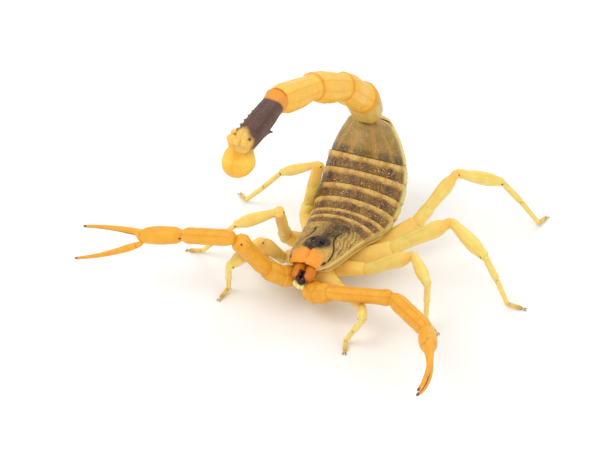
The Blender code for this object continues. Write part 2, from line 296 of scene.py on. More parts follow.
def stand_on(at, s):
    """Centre, side and up directions and radius at one place along a limb."""
    centre, side, up = frames(at, np.array([s]))
    return centre[0], side[0], up[0], at(np.array([s]))[0, 3]


def tube(bm, at, span, caps, around=32, along=48, keels=(), wide=1.0, shape=None, paint=None):
    """A closed limb along a middle line. at(s) gives centre and radius at s mm.

    caps are the lengths of the two rounded ends. Each keel is (degrees, height, width in
    degrees, tooth spacing). shape(s, angle) scales the radius, and paint(s, angle) adds marks.
    """
    start, end = span

    def place(u, v):
        s = start + (end - start) * crowded(v, 0.55)
        angle = 2 * math.pi * u
        near = np.clip((s - start) / caps[0], 0, 1)
        far = np.clip((end - s) / caps[1], 0, 1)
        rounded = np.sqrt(np.clip(1 - (1 - near) ** 2, 0, 1) * np.clip(1 - (1 - far) ** 2, 0, 1))
        ridge = np.zeros_like(u)
        swell = np.ones_like(u)
        for degrees, height, width, pitch in keels:
            lift = bell(turned_from(angle, math.radians(degrees)), math.radians(width))
            lift = lift * smooth(near) * smooth(far)
            if pitch:
                lift = lift * (0.55 + 0.45 * np.cos(2 * math.pi * s / pitch))
            swell += height * lift
            ridge = np.maximum(ridge, lift)
        if shape:
            swell = swell * shape(s, angle)
        centre, side, up = frames(at, s)
        size = (at(s)[:, 3] * rounded * swell)[:, None]
        outwards = side * (np.cos(angle) * wide)[:, None] + up * np.sin(angle)[:, None]
        marks = {"ridge": np.maximum(ridge, 0.6 * grains(angle * 1.6, 0.3 * s, 0.5, 2.0))}
        if paint:
            marks.update(paint(s, angle))
        return centre + size * outwards, marks
    add_grid(bm, around, along, place)


print("tube helpers ready")

# %% [markdown]
# ## Cuticle
# A scorpion's shell is a thin, slightly clear, waxy plate with fine grains on it. The
# nodes that colour it are always of the same few kinds, so one small class adds each
# kind, and a finish is then a list of layers instead of a page of links.

# %% Shader nodes
def fill(links, node, inputs):
    """Links or sets a node's inputs: each value is another node's output or a constant."""
    for name, value in inputs.items():
        if isinstance(value, bpy.types.NodeSocket):
            links.new(value, node.inputs[name])
        else:
            node.inputs[name].default_value = value


class Layers:
    """Adds nodes to one material. Sizes are in millimetres of the object's own space."""

    def __init__(self, name):
        self.material = bpy.data.materials.new(name)
        self.material.use_nodes = True
        self.nodes = self.material.node_tree.nodes
        self.links = self.material.node_tree.links
        self.place = self.nodes.new("ShaderNodeTexCoord").outputs["Object"]

    def node(self, kind, inputs, **settings):
        node = self.nodes.new("ShaderNode" + kind)
        for name, value in settings.items():
            setattr(node, name, value)
        fill(self.links, node, inputs)
        return node

    def noise(self, size, detail=4.0):
        inputs = {"Vector": self.place, "Scale": 1 / (size * MM), "Detail": detail}
        return self.node("TexNoise", inputs).outputs["Fac"]

    def cells(self, size):
        """Distance to the nearest of many scattered points, and a random red for each."""
        cells = self.node("TexVoronoi", {"Vector": self.place, "Scale": 1 / (size * MM)})
        chosen = self.node("SeparateColor", {"Color": cells.outputs["Color"]})
        return cells.outputs["Distance"], chosen.outputs["Red"]

    def ramp(self, value, low, high, top=1.0, bottom=0.0):
        inputs = {"Value": value, "From Min": low, "From Max": high, "To Min": bottom, "To Max": top}
        return self.node("MapRange", inputs).outputs["Result"]

    def tint(self, below, factor, rgb):
        """Lays a colour over another. A Mix node has its two colours in sockets 6 and 7."""
        inputs = {"Factor": factor, 6: below, 7: (*rgb, 1)}
        return self.node("Mix", inputs, data_type="RGBA").outputs[2]

    def mark(self, name):
        return self.node("Attribute", {}, attribute_name=name).outputs["Fac"]

    def times(self, a, b):
        return self.node("Math", {0: a, 1: b}, operation="MULTIPLY").outputs[0]

    def added(self, a, b):
        return self.node("Math", {0: a, 1: b}, operation="ADD").outputs[0]


print("shader helpers ready")

# %% [markdown]
# The colour is built in layers: a base that drifts a little into a deeper tint, pale
# where glow is painted, dark where tone is, the keel colour where ridge is, and the rim
# colour along edges and joints. The tops of the grains are lightened as painted highlights,
# and some scattered grains get painted golden glints. Fine grains and pores are bump, and
# the shine is broken up by another noise. A painted picture could do the same, but noise
# stays sharp however near the eye comes.

# %% Cuticle material
# The colour of the painted golden glints on scattered grains.
GLINT_GOLD = (1.0, 0.7, 0.34)


def cuticle(name, base, deep, keel, dark, pale, rim, grain=0.3, grain_size=0.28, shine=0.42, clear=0.12,
            drift=0.55, grain_highlight=0.0, speck=0.35, ridge_share=0.4, glint_share=0.0):
    """A shell finish: six colours, then how grainy, shiny, clear and speckled it is, and how strong its
    painted highlights and golden glints are.
    """
    look = Layers(name)
    distance, chosen = look.cells(grain_size)
    speckle = look.noise(0.16, 3.0)
    grain_top = look.ramp(distance, 0.62, 0.12)
    mottle = look.added(look.times(look.noise(0.3), 0.5), look.times(look.noise(1.1), 0.4))
    # The scattered grains, in patches, that get painted golden glints.
    lit = look.times(look.ramp(chosen, 0.45, 0.95), look.ramp(look.noise(0.9), 0.42, 0.6))
    fleck = look.times(look.ramp(distance, 0.46, 0.2), lit)

    colour = look.tint((*base, 1), look.ramp(look.noise(1.6), 0.38, 0.68, drift), deep)
    colour = look.tint(colour, look.times(look.ramp(speckle, 0.42, 0.7), speck), deep)
    colour = look.tint(colour, look.times(look.mark("glow"), look.ramp(look.noise(0.5), 0.0, 0.42)), pale)
    colour = look.tint(colour, look.ramp(look.added(look.mark("tone"), mottle), 0.52, 1.05), dark)
    colour = look.tint(colour, look.times(look.mark("ridge"), ridge_share), keel)
    # Painted highlight: the tops of the grains are lightened towards the pale colour.
    colour = look.tint(colour, look.times(grain_top, grain_highlight), pale)
    # Painted highlight: golden glints on some scattered grains.
    colour = look.tint(colour, look.times(fleck, glint_share), GLINT_GOLD)
    colour = look.tint(colour, look.mark("rim"), rim)

    rough = look.ramp(look.noise(0.22), 0.0, 1.0, shine + 0.14, shine - 0.1)
    height = look.added(grain_top, look.times(speckle, 0.6))
    bump = look.node("Bump", {"Strength": grain, "Distance": 0.06 * MM, "Height": height})
    fill(look.links, look.nodes["Principled BSDF"], {
        "Base Color": colour, "Roughness": rough, "Normal": bump.outputs["Normal"],
        "Subsurface Weight": clear, "Subsurface Radius": (1.0, 0.5, 0.2), "Subsurface Scale": 0.5 * MM,
        "Specular IOR Level": 0.32, "Coat Weight": 0.07, "Coat Roughness": 0.25})
    print("finish:", name)
    return look.material


print("cuticle maker ready")

# %% [markdown]
# The legs are straw yellow, the arms and tail rings amber, and the end of the tail a
# dark purple brown. The six colours of each finish come in the order base, deep, keel,
# dark, pale and rim.

# %% Finishes of the limbs and the tail
straw = cuticle(
    "leg_cuticle", (0.88, 0.7, 0.2), (0.82, 0.54, 0.1), (0.76, 0.46, 0.08), (0.14, 0.045, 0.015),
    (0.95, 0.84, 0.38), (0.93, 0.5, 0.09), grain=0.16, shine=0.38, clear=0.2)
amber = cuticle(
    "arm_cuticle", (0.87, 0.43, 0.032), (0.74, 0.3, 0.015), (0.6, 0.2, 0.01), (0.1, 0.03, 0.01),
    (0.95, 0.56, 0.08), (0.74, 0.22, 0.008), grain=0.34, grain_size=0.24)
tail_amber = cuticle(
    "tail_cuticle", (0.93, 0.54, 0.07), (0.84, 0.42, 0.035), (0.72, 0.3, 0.02), (0.45, 0.1, 0.01),
    (0.95, 0.62, 0.12), (0.7, 0.16, 0.004), grain=0.26, grain_size=0.24)
tail_olive = cuticle(
    "tail_root_cuticle", (0.68, 0.46, 0.1), (0.5, 0.34, 0.07), (0.72, 0.36, 0.03), (0.45, 0.1, 0.01),
    (0.9, 0.66, 0.16), (0.7, 0.16, 0.004), grain=0.3, grain_size=0.24)
tail_dark = cuticle(
    "tail_end_cuticle", (0.12, 0.05, 0.032), (0.045, 0.022, 0.018), (0.2, 0.085, 0.05), (0.02, 0.009, 0.008),
    (0.88, 0.52, 0.1), (0.86, 0.34, 0.03), grain=0.6, grain_size=0.22, clear=0.03, shine=0.3, speck=0.6)
bulb_yellow = cuticle(
    "bulb_cuticle", (0.9, 0.5, 0.045), (0.8, 0.36, 0.02), (0.7, 0.28, 0.015), (0.03, 0.012, 0.01),
    (0.95, 0.66, 0.1), (0.6, 0.25, 0.02), grain=0.22, clear=0.2)
jaw_orange = cuticle(
    "jaw_cuticle", (0.7, 0.22, 0.012), (0.5, 0.12, 0.006), (0.6, 0.15, 0.01), (0.02, 0.003, 0.002),
    (0.85, 0.42, 0.06), (0.3, 0.05, 0.01), grain=0.2, shine=0.24)

# %% [markdown]
# The back is brown, rough and glossy with painted golden glints, and the head shield
# grades from olive to bright orange in front. The underside, the soft skin and the combs
# are pale. The eyes are black and very glossy.

# %% Finishes of the trunk
back_brown = cuticle(
    "back_plate_cuticle", (0.4, 0.2, 0.035), (0.17, 0.075, 0.018), (0.5, 0.18, 0.015), (0.062, 0.034, 0.014),
    (0.76, 0.48, 0.12), (0.76, 0.62, 0.24), grain=1.0, grain_size=0.24, clear=0.02, shine=0.2, grain_highlight=0.24,
    speck=0.85, ridge_share=0.8, glint_share=0.95)
last_olive = cuticle(
    "last_ring_cuticle", (0.42, 0.26, 0.07), (0.22, 0.13, 0.035), (0.55, 0.26, 0.03), (0.08, 0.055, 0.022),
    (0.66, 0.5, 0.16), (0.76, 0.62, 0.24), grain=0.5, grain_size=0.3, clear=0.04, shine=0.2, grain_highlight=0.15,
    speck=0.8, ridge_share=0.8, glint_share=0.4)
head_orange = cuticle(
    "head_cuticle", (0.66, 0.43, 0.1), (0.34, 0.18, 0.04), (0.62, 0.32, 0.08), (0.012, 0.009, 0.008),
    (0.93, 0.33, 0.022), (0.85, 0.62, 0.2), grain=0.7, grain_size=0.22, clear=0.04, shine=0.26, drift=0.8,
    grain_highlight=0.12, speck=0.6, ridge_share=0.5, glint_share=0.4)
belly_pale = cuticle(
    "belly_cuticle", (0.75, 0.52, 0.15), (0.62, 0.4, 0.1), (0.66, 0.42, 0.12), (0.3, 0.15, 0.04),
    (0.85, 0.7, 0.3), (0.5, 0.3, 0.08), grain=0.2, clear=0.15)
joint_skin = cuticle(
    "joint_skin", (0.66, 0.5, 0.13), (0.48, 0.33, 0.07), (0.6, 0.46, 0.15), (0.4, 0.17, 0.03),
    (0.8, 0.64, 0.22), (0.5, 0.4, 0.16), grain=0.4, grain_size=0.5, shine=0.45)
comb_pale = cuticle(
    "comb_cuticle", (0.82, 0.62, 0.24), (0.72, 0.5, 0.16), (0.8, 0.6, 0.25), (0.4, 0.2, 0.06),
    (0.9, 0.75, 0.4), (0.6, 0.4, 0.16), grain=0.15)
eye_black = cuticle(
    "eye_gloss", (0.004, 0.004, 0.005), (0.008, 0.006, 0.006), (0.01, 0.01, 0.01), (0.002, 0.002, 0.002),
    (0.02, 0.02, 0.02), (0.02, 0.02, 0.02), grain=0.02, shine=0.16, clear=0.0)

# %% [markdown]
# ## The line of the body
# The trunk is bent: flat at the head, rising to the tail. Its sections are read from the
# shield, the back plates and the last ring, and its underside from the belly plates. One
# function then gives any point of the body from a distance along it and an angle round it.

# %% Sections of the trunk
LEFT = np.array([1.0, 0, 0])
AHEAD = np.array([0, -30.0, 0])
# Columns of a section, after its centre and its up direction.
WIDTH, ABOVE, BELOW = 6, 7, 8
BACK_PLATES = [f"tergite_{number}" for number in range(1, 7)]
BELLY_PLATES = ["coxal_plate", "sternite_3", "sternite_4", "sternite_5"]


def section(ring):
    """Centre, up direction, half width, and reach above and below of a trunk ring."""
    flanks = [ring[np.abs(ring[:, 0] - x) < WELD].mean(0) for x in (ring[:, 0].max(), ring[:, 0].min())]
    centre = np.mean(flanks, axis=0)
    along = np.linalg.svd(ring - ring.mean(0))[2][2]
    along = along * np.sign(along[1] + along[2])
    up = np.cross(LEFT, along)
    height = (ring - centre) @ up
    return np.concatenate([centre, up, [np.ptp(ring[:, 0]) / 2, height.max(), -height.min()]])


def chained(nodes, start):
    """Sections of a chain of solids, and the numbers of those where two solids meet."""
    rows, borders = [], []
    for node in nodes:
        found = [section(ring) for ring in rings_of(node, start)]
        if rows:
            found[0] = (rows.pop() + found[0]) / 2
            borders.append(len(rows))
        rows += found
        start = rows[-1][:3]
    return np.array(rows), borders


upper, borders = chained(["carapace", *BACK_PLATES, "segment_7"], AHEAD)
lower, lower_borders = chained(BELLY_PLATES, AHEAD)
keys = lengths_along(upper[:, :3])
border_at = keys[borders]
trunk_end = keys[-1]
trunk_rows = curve(keys, upper)
print("trunk length %.1f mm, plate borders at" % trunk_end, np.round(border_at, 1))

# %% [markdown]
# The belly plates are measured along the same line as the back plates: each of their
# sections belongs to the place of the trunk that it is nearest to.

# %% Places on the trunk
TAIL_SECTIONS = 3
dense = np.linspace(0, trunk_end, 400)
dense_centres = trunk_rows(dense)[:, :3]


def nearest_place(point):
    """The distance along the trunk at which its middle line comes nearest to a point."""
    return dense[np.linalg.norm(dense_centres - point, axis=1).argmin()]


low_keys = [nearest_place(row[:3]) for row in lower] + list(keys[-TAIL_SECTIONS:])
low_reach = [*lower[:, BELOW], *upper[-TAIL_SECTIONS:, BELOW]]
reach_below = curve(low_keys, low_reach)


def trunk(s, theta, grow):
    """Points of the body: theta 0 is its left side, 90 degrees the back."""
    row = trunk_rows(s)
    centre, up = row[:, :3], unit(row[:, 3:6])
    width = row[:, WIDTH] + grow
    height = np.where(np.sin(theta) > 0, row[:, ABOVE], reach_below(s)[:, 0]) + grow
    return centre + LEFT * (width * np.cos(theta))[:, None] + up * (height * np.sin(theta))[:, None]


def across_back(s, turn):
    """Distance over the back from its middle line, for a turn away from straight up."""
    row = trunk_rows(s)
    return turn * (row[:, WIDTH] + row[:, ABOVE]) / 2


print("belly measured at", np.round(low_keys, 1))

# %% [markdown]
# ## The skin between the plates
# Under the plates lies one soft skin, which swells out between the back plates and the
# belly plates on a well-fed animal. It could be draped as cloth, but it is tight, so it is
# a closed bag just inside the plates, pushed out along the flanks and pinched a little at
# each plate border.

# %% Body skin
FLANK_SWELL = 0.02
SKIN_DEPTH = 0.34


def skin_place(u, v):
    s = 0.12 + (trunk_end + 0.1) * crowded(v, 0.7)
    theta = 2 * math.pi * u
    swollen = smooth(s, border_at[1], border_at[3]) * smooth(trunk_end - s, -0.2, 1.2)
    flank = bell(np.cos(theta) ** 2 - 1, 0.35) * swollen
    pinch = sum(bell(s - border, 0.3) for border in border_at[1:])
    folds = 0.035 * np.sin(9 * s) * flank
    grow = -SKIN_DEPTH + flank * (SKIN_DEPTH + FLANK_SWELL - 0.16 * pinch + folds)
    closing = np.sqrt(np.clip(np.minimum(v / 0.03, (1 - v) / 0.05), 0, 1))
    # Painted shade: the skin is darker in the pinches at the plate borders, and at both ends of the bag
    # where it lies under the shield and inside the last ring. It is paler on the swollen flanks between the
    # pinches.
    dark_ends = 1 - smooth(s, 0.2, 0.9) + smooth(s, trunk_end - 0.9, trunk_end - 0.3)
    centre = trunk_rows(s)[:, :3]
    points = centre + (trunk(s, theta, grow) - centre) * closing[:, None]
    marks = {"tone": np.clip(0.5 * pinch * flank + dark_ends, 0, 1),
             "glow": 0.7 * flank * (1 - np.clip(pinch, 0, 1))}
    return points, marks


sheet("body_skin", 96, 200, skin_place, joint_skin, (), 0.0)
print("body skin done")

# %% [markdown]
# ## Back plates
# Each back plate is tucked under the one ahead of it and ends in a raised rim that lies
# over the next. Three rough keels run along it. The front of each plate is dark, and its
# rim and its outer ends are yellow, so the back looks banded.

# %% Back plates
PLATE_SIDE = math.radians(10)
PLATE_WALL = 0.14
RIM = 0.2
TUCK = 0.05
KEEL_TURNS = (0.0, 0.62, -0.62)


def beaded(s, pitch, least):
    """Beads along a keel, between least and 1."""
    return (1 + least) / 2 + (1 - least) / 2 * np.cos(2 * math.pi * s / pitch)


def plate_place(start, end, tuck):
    """Places and marks for a back plate between two borders of the trunk."""
    def place(u, v):
        x = -0.16 + 1.2 * v
        s = start + (end - start) * x - tuck
        theta = PLATE_SIDE + (math.pi - 2 * PLATE_SIDE) * u
        turn = theta - math.pi / 2
        across = across_back(s, turn)
        edge = np.minimum(u, 1 - u)
        ends = 1 - smooth(edge, 0.01, 0.08)
        band = smooth(x + 0.025 * np.sin(31 * u + start) + 0.02 * np.sin(77 * u), 0.5, 0.8)

        grow = 0.34 * smooth(x, -0.16, 0.12) + RIM * smooth(x, 0.45, 0.97) - 0.24 * smooth(x, 0.97, 1.04)
        grow = grow - 0.3 - 0.28 * (1 - smooth(edge, 0, 0.035))
        grow += 0.015 * np.sin(40 * u) * smooth(x, 0.6, 0.9)
        ridge = np.zeros_like(u)
        for where in KEEL_TURNS:
            line = bell(turn - where, 0.028) * smooth(x, 0.0, 0.2) * (1 - smooth(x, 0.93, 1.0))
            grow += 0.1 * line * beaded(s, 0.42, 0.2)
            tinted = bell(turn - where, 0.07) * (0.5 + 0.5 * grains(turn * 8, s, 0.5, 7.0))
            ridge = np.maximum(ridge, tinted)
        wrinkle = bell(x - 0.42, 0.1) * np.cos(95 * u + 3 * np.sin(17 * u))
        rim_grains = bell(x - 0.86, 0.06) * (0.5 + 0.5 * np.cos(150 * u + 2 * np.sin(23 * u)))
        grow += (0.05 * wrinkle + 0.09 * rim_grains) * smooth(edge, 0.02, 0.1)
        grow += 0.1 * grains(across, s, 0.32, start) * smooth(edge, 0.02, 0.08) * (1 - 0.5 * band)

        fleck = grains(across * 2.2, s, 0.34, start + 3.0)
        tone = (1 - band) * (1 - 0.85 * ends) * (0.36 + 0.16 * np.cos(9 * turn) + 0.55 * fleck)
        # Painted shade: the lip where the rim turns down over the next plate is darkened.
        tone = np.maximum(np.clip(tone, 0, 1), 0.9 * smooth(x, 1.0, 1.03))
        uneven = 0.66 + 0.2 * np.cos(11 * turn + start) - 0.14 * np.sin(27 * turn)
        glow = uneven * band * (1 - smooth(x, 0.98, 1.02)) + 0.45 * rim_grains
        marks = {"ridge": 0.7 * ridge, "tone": tone, "glow": np.clip(glow, 0, 1), "rim": 0.85 * ends}
        return trunk(s, theta, grow), marks
    return place


for number, (start, end) in enumerate(zip(border_at, border_at[1:]), 1):
    place = plate_place(start, end, TUCK if number > 1 else 0.0)
    sheet(f"back_plate_{number}", 150, 34, place, back_brown, [f"tergite_{number}"], PLATE_WALL)
print("back plates done")

# %% [markdown]
# The seventh ring of the trunk narrows to the tail. Its back plate is olive brown with
# four low rust-coloured keels. A wall alone would leave the ring open behind, so its rear
# end is rounded in towards the tail.

# %% Seventh ring
RING_WALL = 0.16
FOLD_DEPTH = 0.55
FOLD_REACH = 0.45
FOLD_FROM = 0.96
OLIVE_KEEL_TURNS = (0.34, -0.34, 0.85, -0.85)


def folded(points, s, fold):
    """Rounds the rear end of a plate in towards the tail, as fold runs from 0 to 1."""
    centre = trunk_rows(s)[:, :3]
    return centre + (points - centre) * (1 - FOLD_DEPTH * (1 - np.cos(fold * math.pi / 2)))[:, None]


def last_plate_place(u, v):
    x = -0.06 + 1.21 * v
    fold = np.clip((x - FOLD_FROM) / 0.19, 0, 1)
    along = border_at[-1] + (trunk_end - border_at[-1]) * np.minimum(x, FOLD_FROM)
    s = along + FOLD_REACH * np.sin(fold * math.pi / 2)
    side = PLATE_SIDE * (1 - 0.5 * np.minimum(x, 1))
    theta = side + (math.pi - 2 * side) * u
    turn = theta - math.pi / 2
    edge = np.minimum(u, 1 - u)
    grow = -0.3 + 0.34 * smooth(x, -0.06, 0.06) + 0.12 * smooth(x, 0.75, 0.94) - 0.1 * fold
    grow = grow - 0.28 * (1 - smooth(edge, 0, 0.03))
    ridge = np.zeros_like(u)
    beads = beaded(s, 0.4, 0.5)
    for where in OLIVE_KEEL_TURNS:
        off_keel = turn - where * (1 - 0.25 * x)
        line = bell(off_keel, 0.035) * smooth(x, 0.05, 0.2) * (1 - smooth(x, 0.85, 0.97))
        grow += 0.13 * line * beads
        ridge = np.maximum(ridge, bell(off_keel, 0.07) * (0.6 + 0.4 * beads))
    tone = 0.45 * (1 - smooth(x, 0.1, 0.35)) + 0.12 * smooth(np.abs(turn), 0.3, 0.8) - 0.2 * fold
    glow = 0.1 * ridge + 0.9 * (1 - smooth(edge, 0.02, 0.1)) + 0.25 * smooth(x, 0.5, 0.9)
    glow = np.clip(glow, 0, 1)
    marks = {"ridge": np.maximum(0.7 * ridge, smooth(fold, 0.45, 0.8)),
             "tone": np.clip(tone, 0, 1) * (1 - 0.7 * glow), "glow": 0.8 * glow,
             "rim": 0.8 * (1 - smooth(edge, 0.004, 0.04))}
    return folded(trunk(s, theta, grow), s, fold), marks


sheet("back_plate_7", 130, 70, last_plate_place, last_olive, ["segment_7"], RING_WALL)
print("seventh back plate done")

# %% [markdown]
# The belly plates are smooth and pale. Each has a breathing slit near either side. The
# last one ends with the seventh ring and is rounded in towards the tail in the same way.

# %% Belly plates
BELLY_EDGE = math.radians(16)
BELLY_TUCK = 0.3


def belly_place(start, end, side, slits=1.0, flat=1.0):
    """A belly plate between two distances. It is rounded in past the share called flat."""
    def place(u, v):
        fold = np.clip((v - flat) / 0.1, 0, 1)
        s = start + (end - start) * np.minimum(v, flat) / flat + FOLD_REACH * np.sin(fold * math.pi / 2)
        theta = math.pi + side + (math.pi - 2 * side) * u
        edge = np.minimum(u, 1 - u)
        border = np.minimum(v, 1 - v)
        grow = 0.08 * smooth(v, 0.5, 0.95) - 0.3 * (1 - smooth(border, 0, 0.05))
        grow = grow - 0.25 * (1 - smooth(edge, 0, 0.04))
        slit = bell(np.abs(u - 0.5) - 0.3, 0.035) * bell(v - 0.45, 0.05) * slits
        marks = {"tone": 0.9 * slit, "glow": 0.4 * smooth(v, 0.7, 1.0) * (1 - fold)}
        return folded(trunk(s, theta, grow - 0.12 * slit), s, fold), marks
    return place


belly_borders = [low_keys[row] for row in (*lower_borders, len(lower) - 1)]
for number, (start, end) in enumerate(zip(belly_borders, belly_borders[1:]), 3):
    place = belly_place(start - BELLY_TUCK, end + 0.1, BELLY_EDGE)
    nodes = [f"sternite_{number}"]
    sheet(f"belly_plate_{number}", 90, 60, place, belly_pale, nodes, PLATE_WALL)
place = belly_place(belly_borders[-1] - BELLY_TUCK, trunk_end - 0.25, BELLY_EDGE, flat=0.9)
sheet("belly_plate_6", 90, 60, place, belly_pale, (), PLATE_WALL)
print("belly plates between", np.round([*belly_borders, trunk_end], 1))

# %% [markdown]
# ## The head shield
# One plate covers the head. Its front is bright orange and split by a groove into two
# low lobes. Behind them stands the eye hill with its two middle eyes in a black patch,
# and two dark furrows run from there to the front corners. The rest is brown and grainy
# with a pale edge. The relief is pushed out of the body surface as sums of soft bumps.

# %% Head shield
SHIELD_SIDE = math.radians(9)
shield_end = border_at[0]
eye_centres = [(np.array(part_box(node)) / MM).mean(0) for node in ("eye_left", "eye_right")]
between_eyes = np.mean(eye_centres, axis=0)
hill_at = nearest_place(between_eyes)
furrow_turn = curve([0.0, 1.2, 3.0, 4.6, 6.0, 8.0], [1.12, 1.05, 0.86, 0.56, 0.44, 0.52])
# Offset from the middle, start and end of the keels before and behind the eye hill.
SHIELD_KEELS = ((0.62, 0.4, hill_at - 0.8), (0.75, hill_at + 1.4, shield_end - 0.4))


def shield_keels(s, across):
    """Two beaded keels before the eyes and two behind them, spreading away from the hill."""
    keel = np.zeros_like(s)
    for offset, begin, stop in SHIELD_KEELS:
        line = bell(np.abs(across) - offset - 0.09 * np.abs(s - hill_at), 0.09)
        line = line * smooth(s, begin, begin + 0.6) * (1 - smooth(s, stop - 0.6, stop))
        keel = np.maximum(keel, line * beaded(s, 0.36, 0.2))
    return keel


def shield_place(u, v):
    s = -0.2 + (shield_end + 0.42) * v
    theta = SHIELD_SIDE + (math.pi - 2 * SHIELD_SIDE) * u
    turn = theta - math.pi / 2
    aside = np.abs(turn)
    across = across_back(s, turn)
    edge = np.minimum(u, 1 - u)
    s = s + 0.16 * bell(turn, 0.14) * (1 - smooth(v, 0, 0.2)) - 0.25 * (1 - smooth(v, 0, 0.1))
    behind = s - hill_at
    furrow_at = furrow_turn(s)[:, 0]

    lobes = 0.3 * bell(np.abs(across) - 1.15, 0.95) * bell(s - 1.5, 1.5)
    hill = 0.6 * bell(across, 0.85) * bell(behind, 1.25)
    brow = 0.16 * bell(np.abs(across) - 0.5, 0.16) * bell(behind, 1.5)
    groove = 0.24 * bell(across, 0.16) * smooth(s, -0.2, 0.6) * (1 - smooth(behind, -1.6, -0.8))
    back_groove = 0.14 * bell(across, 0.14) * smooth(behind, 1.2, 2.2)
    furrow = bell(aside - furrow_at, 0.05) * smooth(s, 0.6, 1.6)
    furrow = furrow * (1 - smooth(s, shield_end - 2.2, shield_end - 1.0))
    rear_arc = bell(s - (shield_end - 1.9 + 0.5 * np.cos(3 * turn)), 0.2) * smooth(aside, 0.15, 0.4)
    ribs = np.sin(34 * aside + 3.4 * s + 1.3 * np.sin(2.3 * s))
    ribs = ribs * smooth(aside - furrow_at, 0, 0.15) * smooth(edge, 0.03, 0.12)
    grain = grains(across, s, 0.34) * (0.25 + 0.75 * smooth(s, 1.8, 4.0)) * smooth(edge, 0.02, 0.06)
    keel = shield_keels(s, across)
    grow = 0.03 + lobes + hill + brow - groove - back_groove - 0.2 * furrow - 0.08 * rear_arc
    grow += 0.035 * ribs + 0.1 * keel + 0.1 * grain + 0.07 * bell(edge - 0.035, 0.02)
    grow = grow - 0.4 * (1 - smooth(edge, 0, 0.025))
    grow = grow - 0.3 * (1 - smooth(v, 0, 0.025)) - 0.2 * smooth(v, 0.98, 1)

    corner = 1.1 * smooth(aside, 0.6, 0.85)
    front = 1 - smooth(behind + corner, -2.0 + 0.5 * np.cos(7 * turn), -1.1)
    front = front * (1 - 0.85 * smooth(aside, 0.85, 1.1))
    patch = 1.7 * bell(turn + 0.02 + 0.06 * behind, 0.34 + 0.05 * behind) * smooth(behind, -1.9, -0.6)
    patch = patch * (1 - 0.75 * smooth(behind, 0.3, 1.9))
    side_eyes = bell(s - 0.55, 0.4) * bell(aside - 1.0, 0.09)
    spots = 0.62 * grains(across, s, 0.4, 5.0) * smooth(behind, -0.5, 0.8)
    tone = np.maximum(np.clip(1.3 * patch, 0, 1), 0.75 * np.clip(furrow + 0.4 * rear_arc, 0, 1))
    # Painted shade: the troughs between the ribs are darkened.
    for layer in (side_eyes, 0.3 * np.clip(-ribs, 0, 1), spots):
        tone = np.maximum(tone, layer)
    # Painted highlight: the rib crests take some of the pale rim colour.
    marks = {"ridge": keel * 0.5, "tone": tone, "glow": np.clip(front - 0.5 * groove, 0, 1),
             "rim": 1 - smooth(edge, 0.035, 0.085) * (1 - 0.3 * np.clip(ribs, 0, 1))}
    return trunk(s, theta, grow), marks


sheet("head_shield", 220, 150, shield_place, head_orange, ["carapace"], RING_WALL)
print("head shield %.1f mm long, eye hill at %.1f mm" % (shield_end, hill_at))

# %% [markdown]
# The two middle eyes are glossy black beads, each set into its side of the eye hill. A
# plain sphere is all they need.

# %% Middle eyes
EYE_RADIUS = 0.45
EYE_SINK = 0.06
EYE_LIFT = 0.02

for side, centre in zip(("left", "right"), eye_centres):
    bm = new_mesh()
    inwards = -np.sign(centre[0] - between_eyes[0])
    spot = Matrix.Translation(Vector(centre + [inwards * EYE_SINK, 0, EYE_LIFT]) * MM)
    bmesh.ops.create_uvsphere(bm, u_segments=32, v_segments=20, radius=EYE_RADIUS * MM, matrix=spot)
    finish(f"{side}_middle_eye", bm, eye_black, [f"eye_{side}"])
print("middle eyes done")

# %% [markdown]
# ## Helpers for limbs
# A limb is a chain of closed tubes, each reaching a little way into the next, as the
# real ones do, so that no gap shows at the joints. Hinge knobs, bristles and spines are
# small spheres and cones in the same mesh. A hair system would make finer bristles, but
# it leaves no mesh behind, and these few are stiff and straight.

# %% Limb helpers
BRISTLE_RADIUS = 0.03


def segment(bm, centres, thickness, reach, caps, ends, **look):
    """One closed tube through centres, with the radii of its inner points in thickness.

    ends gives the radii at the two outer points as shares of their neighbours', and reach
    is how far the tube goes on past those points.
    """
    radii = [thickness[0] * ends[0], *thickness, thickness[-1] * ends[1]]
    at, keys = line_through(centres, radii)
    tube(bm, at, (-reach[0], keys[-1] + reach[1]), caps, **look)
    return at, keys[-1]


def knob(bm, centre, radius, **marks):
    """A small round knob."""
    place = Matrix.Translation(Vector(centre) * MM)
    made = bmesh.ops.create_uvsphere(bm, u_segments=10, v_segments=6, radius=radius * MM, matrix=place)
    set_marks(bm, made["verts"], marks)


def spike(bm, root, direction, length, radius, **marks):
    """A thin straight bristle or spine standing on root."""
    direction = Vector(direction).normalized()
    middle = (Vector(root) + direction * length / 2) * MM
    place = Matrix.Translation(middle) @ direction.to_track_quat("Z", "Y").to_matrix().to_4x4()
    made = bmesh.ops.create_cone(bm, cap_ends=True, segments=5, radius1=radius * MM,
                                 radius2=radius * 0.15 * MM, depth=length * MM, matrix=place)
    set_marks(bm, made["verts"], marks)


def hinge(bm, at, s, out, size=0.19):
    """The dark hinge knobs on both sides of a joint, at out times the limb's radius."""
    centre, side, _, radius = stand_on(at, s)
    for way in (-1, 1):
        knob(bm, centre + side * way * (radius * out - 0.3 * size), size, tone=0.8)


def bristles(bm, at, span, angles, pitch, length):
    """Rows of bristles along a tube, slightly uneven, leaving out any that meet the floor."""
    for degrees in angles:
        for s in np.arange(span[0], span[1], pitch):
            s = s + rng.uniform(-0.2, 0.2) * pitch
            angle = math.radians(degrees + rng.uniform(-12, 12))
            centre, side, up, radius = stand_on(at, s)
            out = side * math.cos(angle) + up * math.sin(angle)
            root = centre + out * radius * 0.85
            size = length * rng.uniform(0.7, 1.2)
            if root[2] + min(out[2], 0) * size > 0.05:
                lean = out - 0.9 * np.cross(side, up)
                spike(bm, root, lean, size, BRISTLE_RADIUS, ridge=1.0, tone=0.1)


print("limb helpers ready")

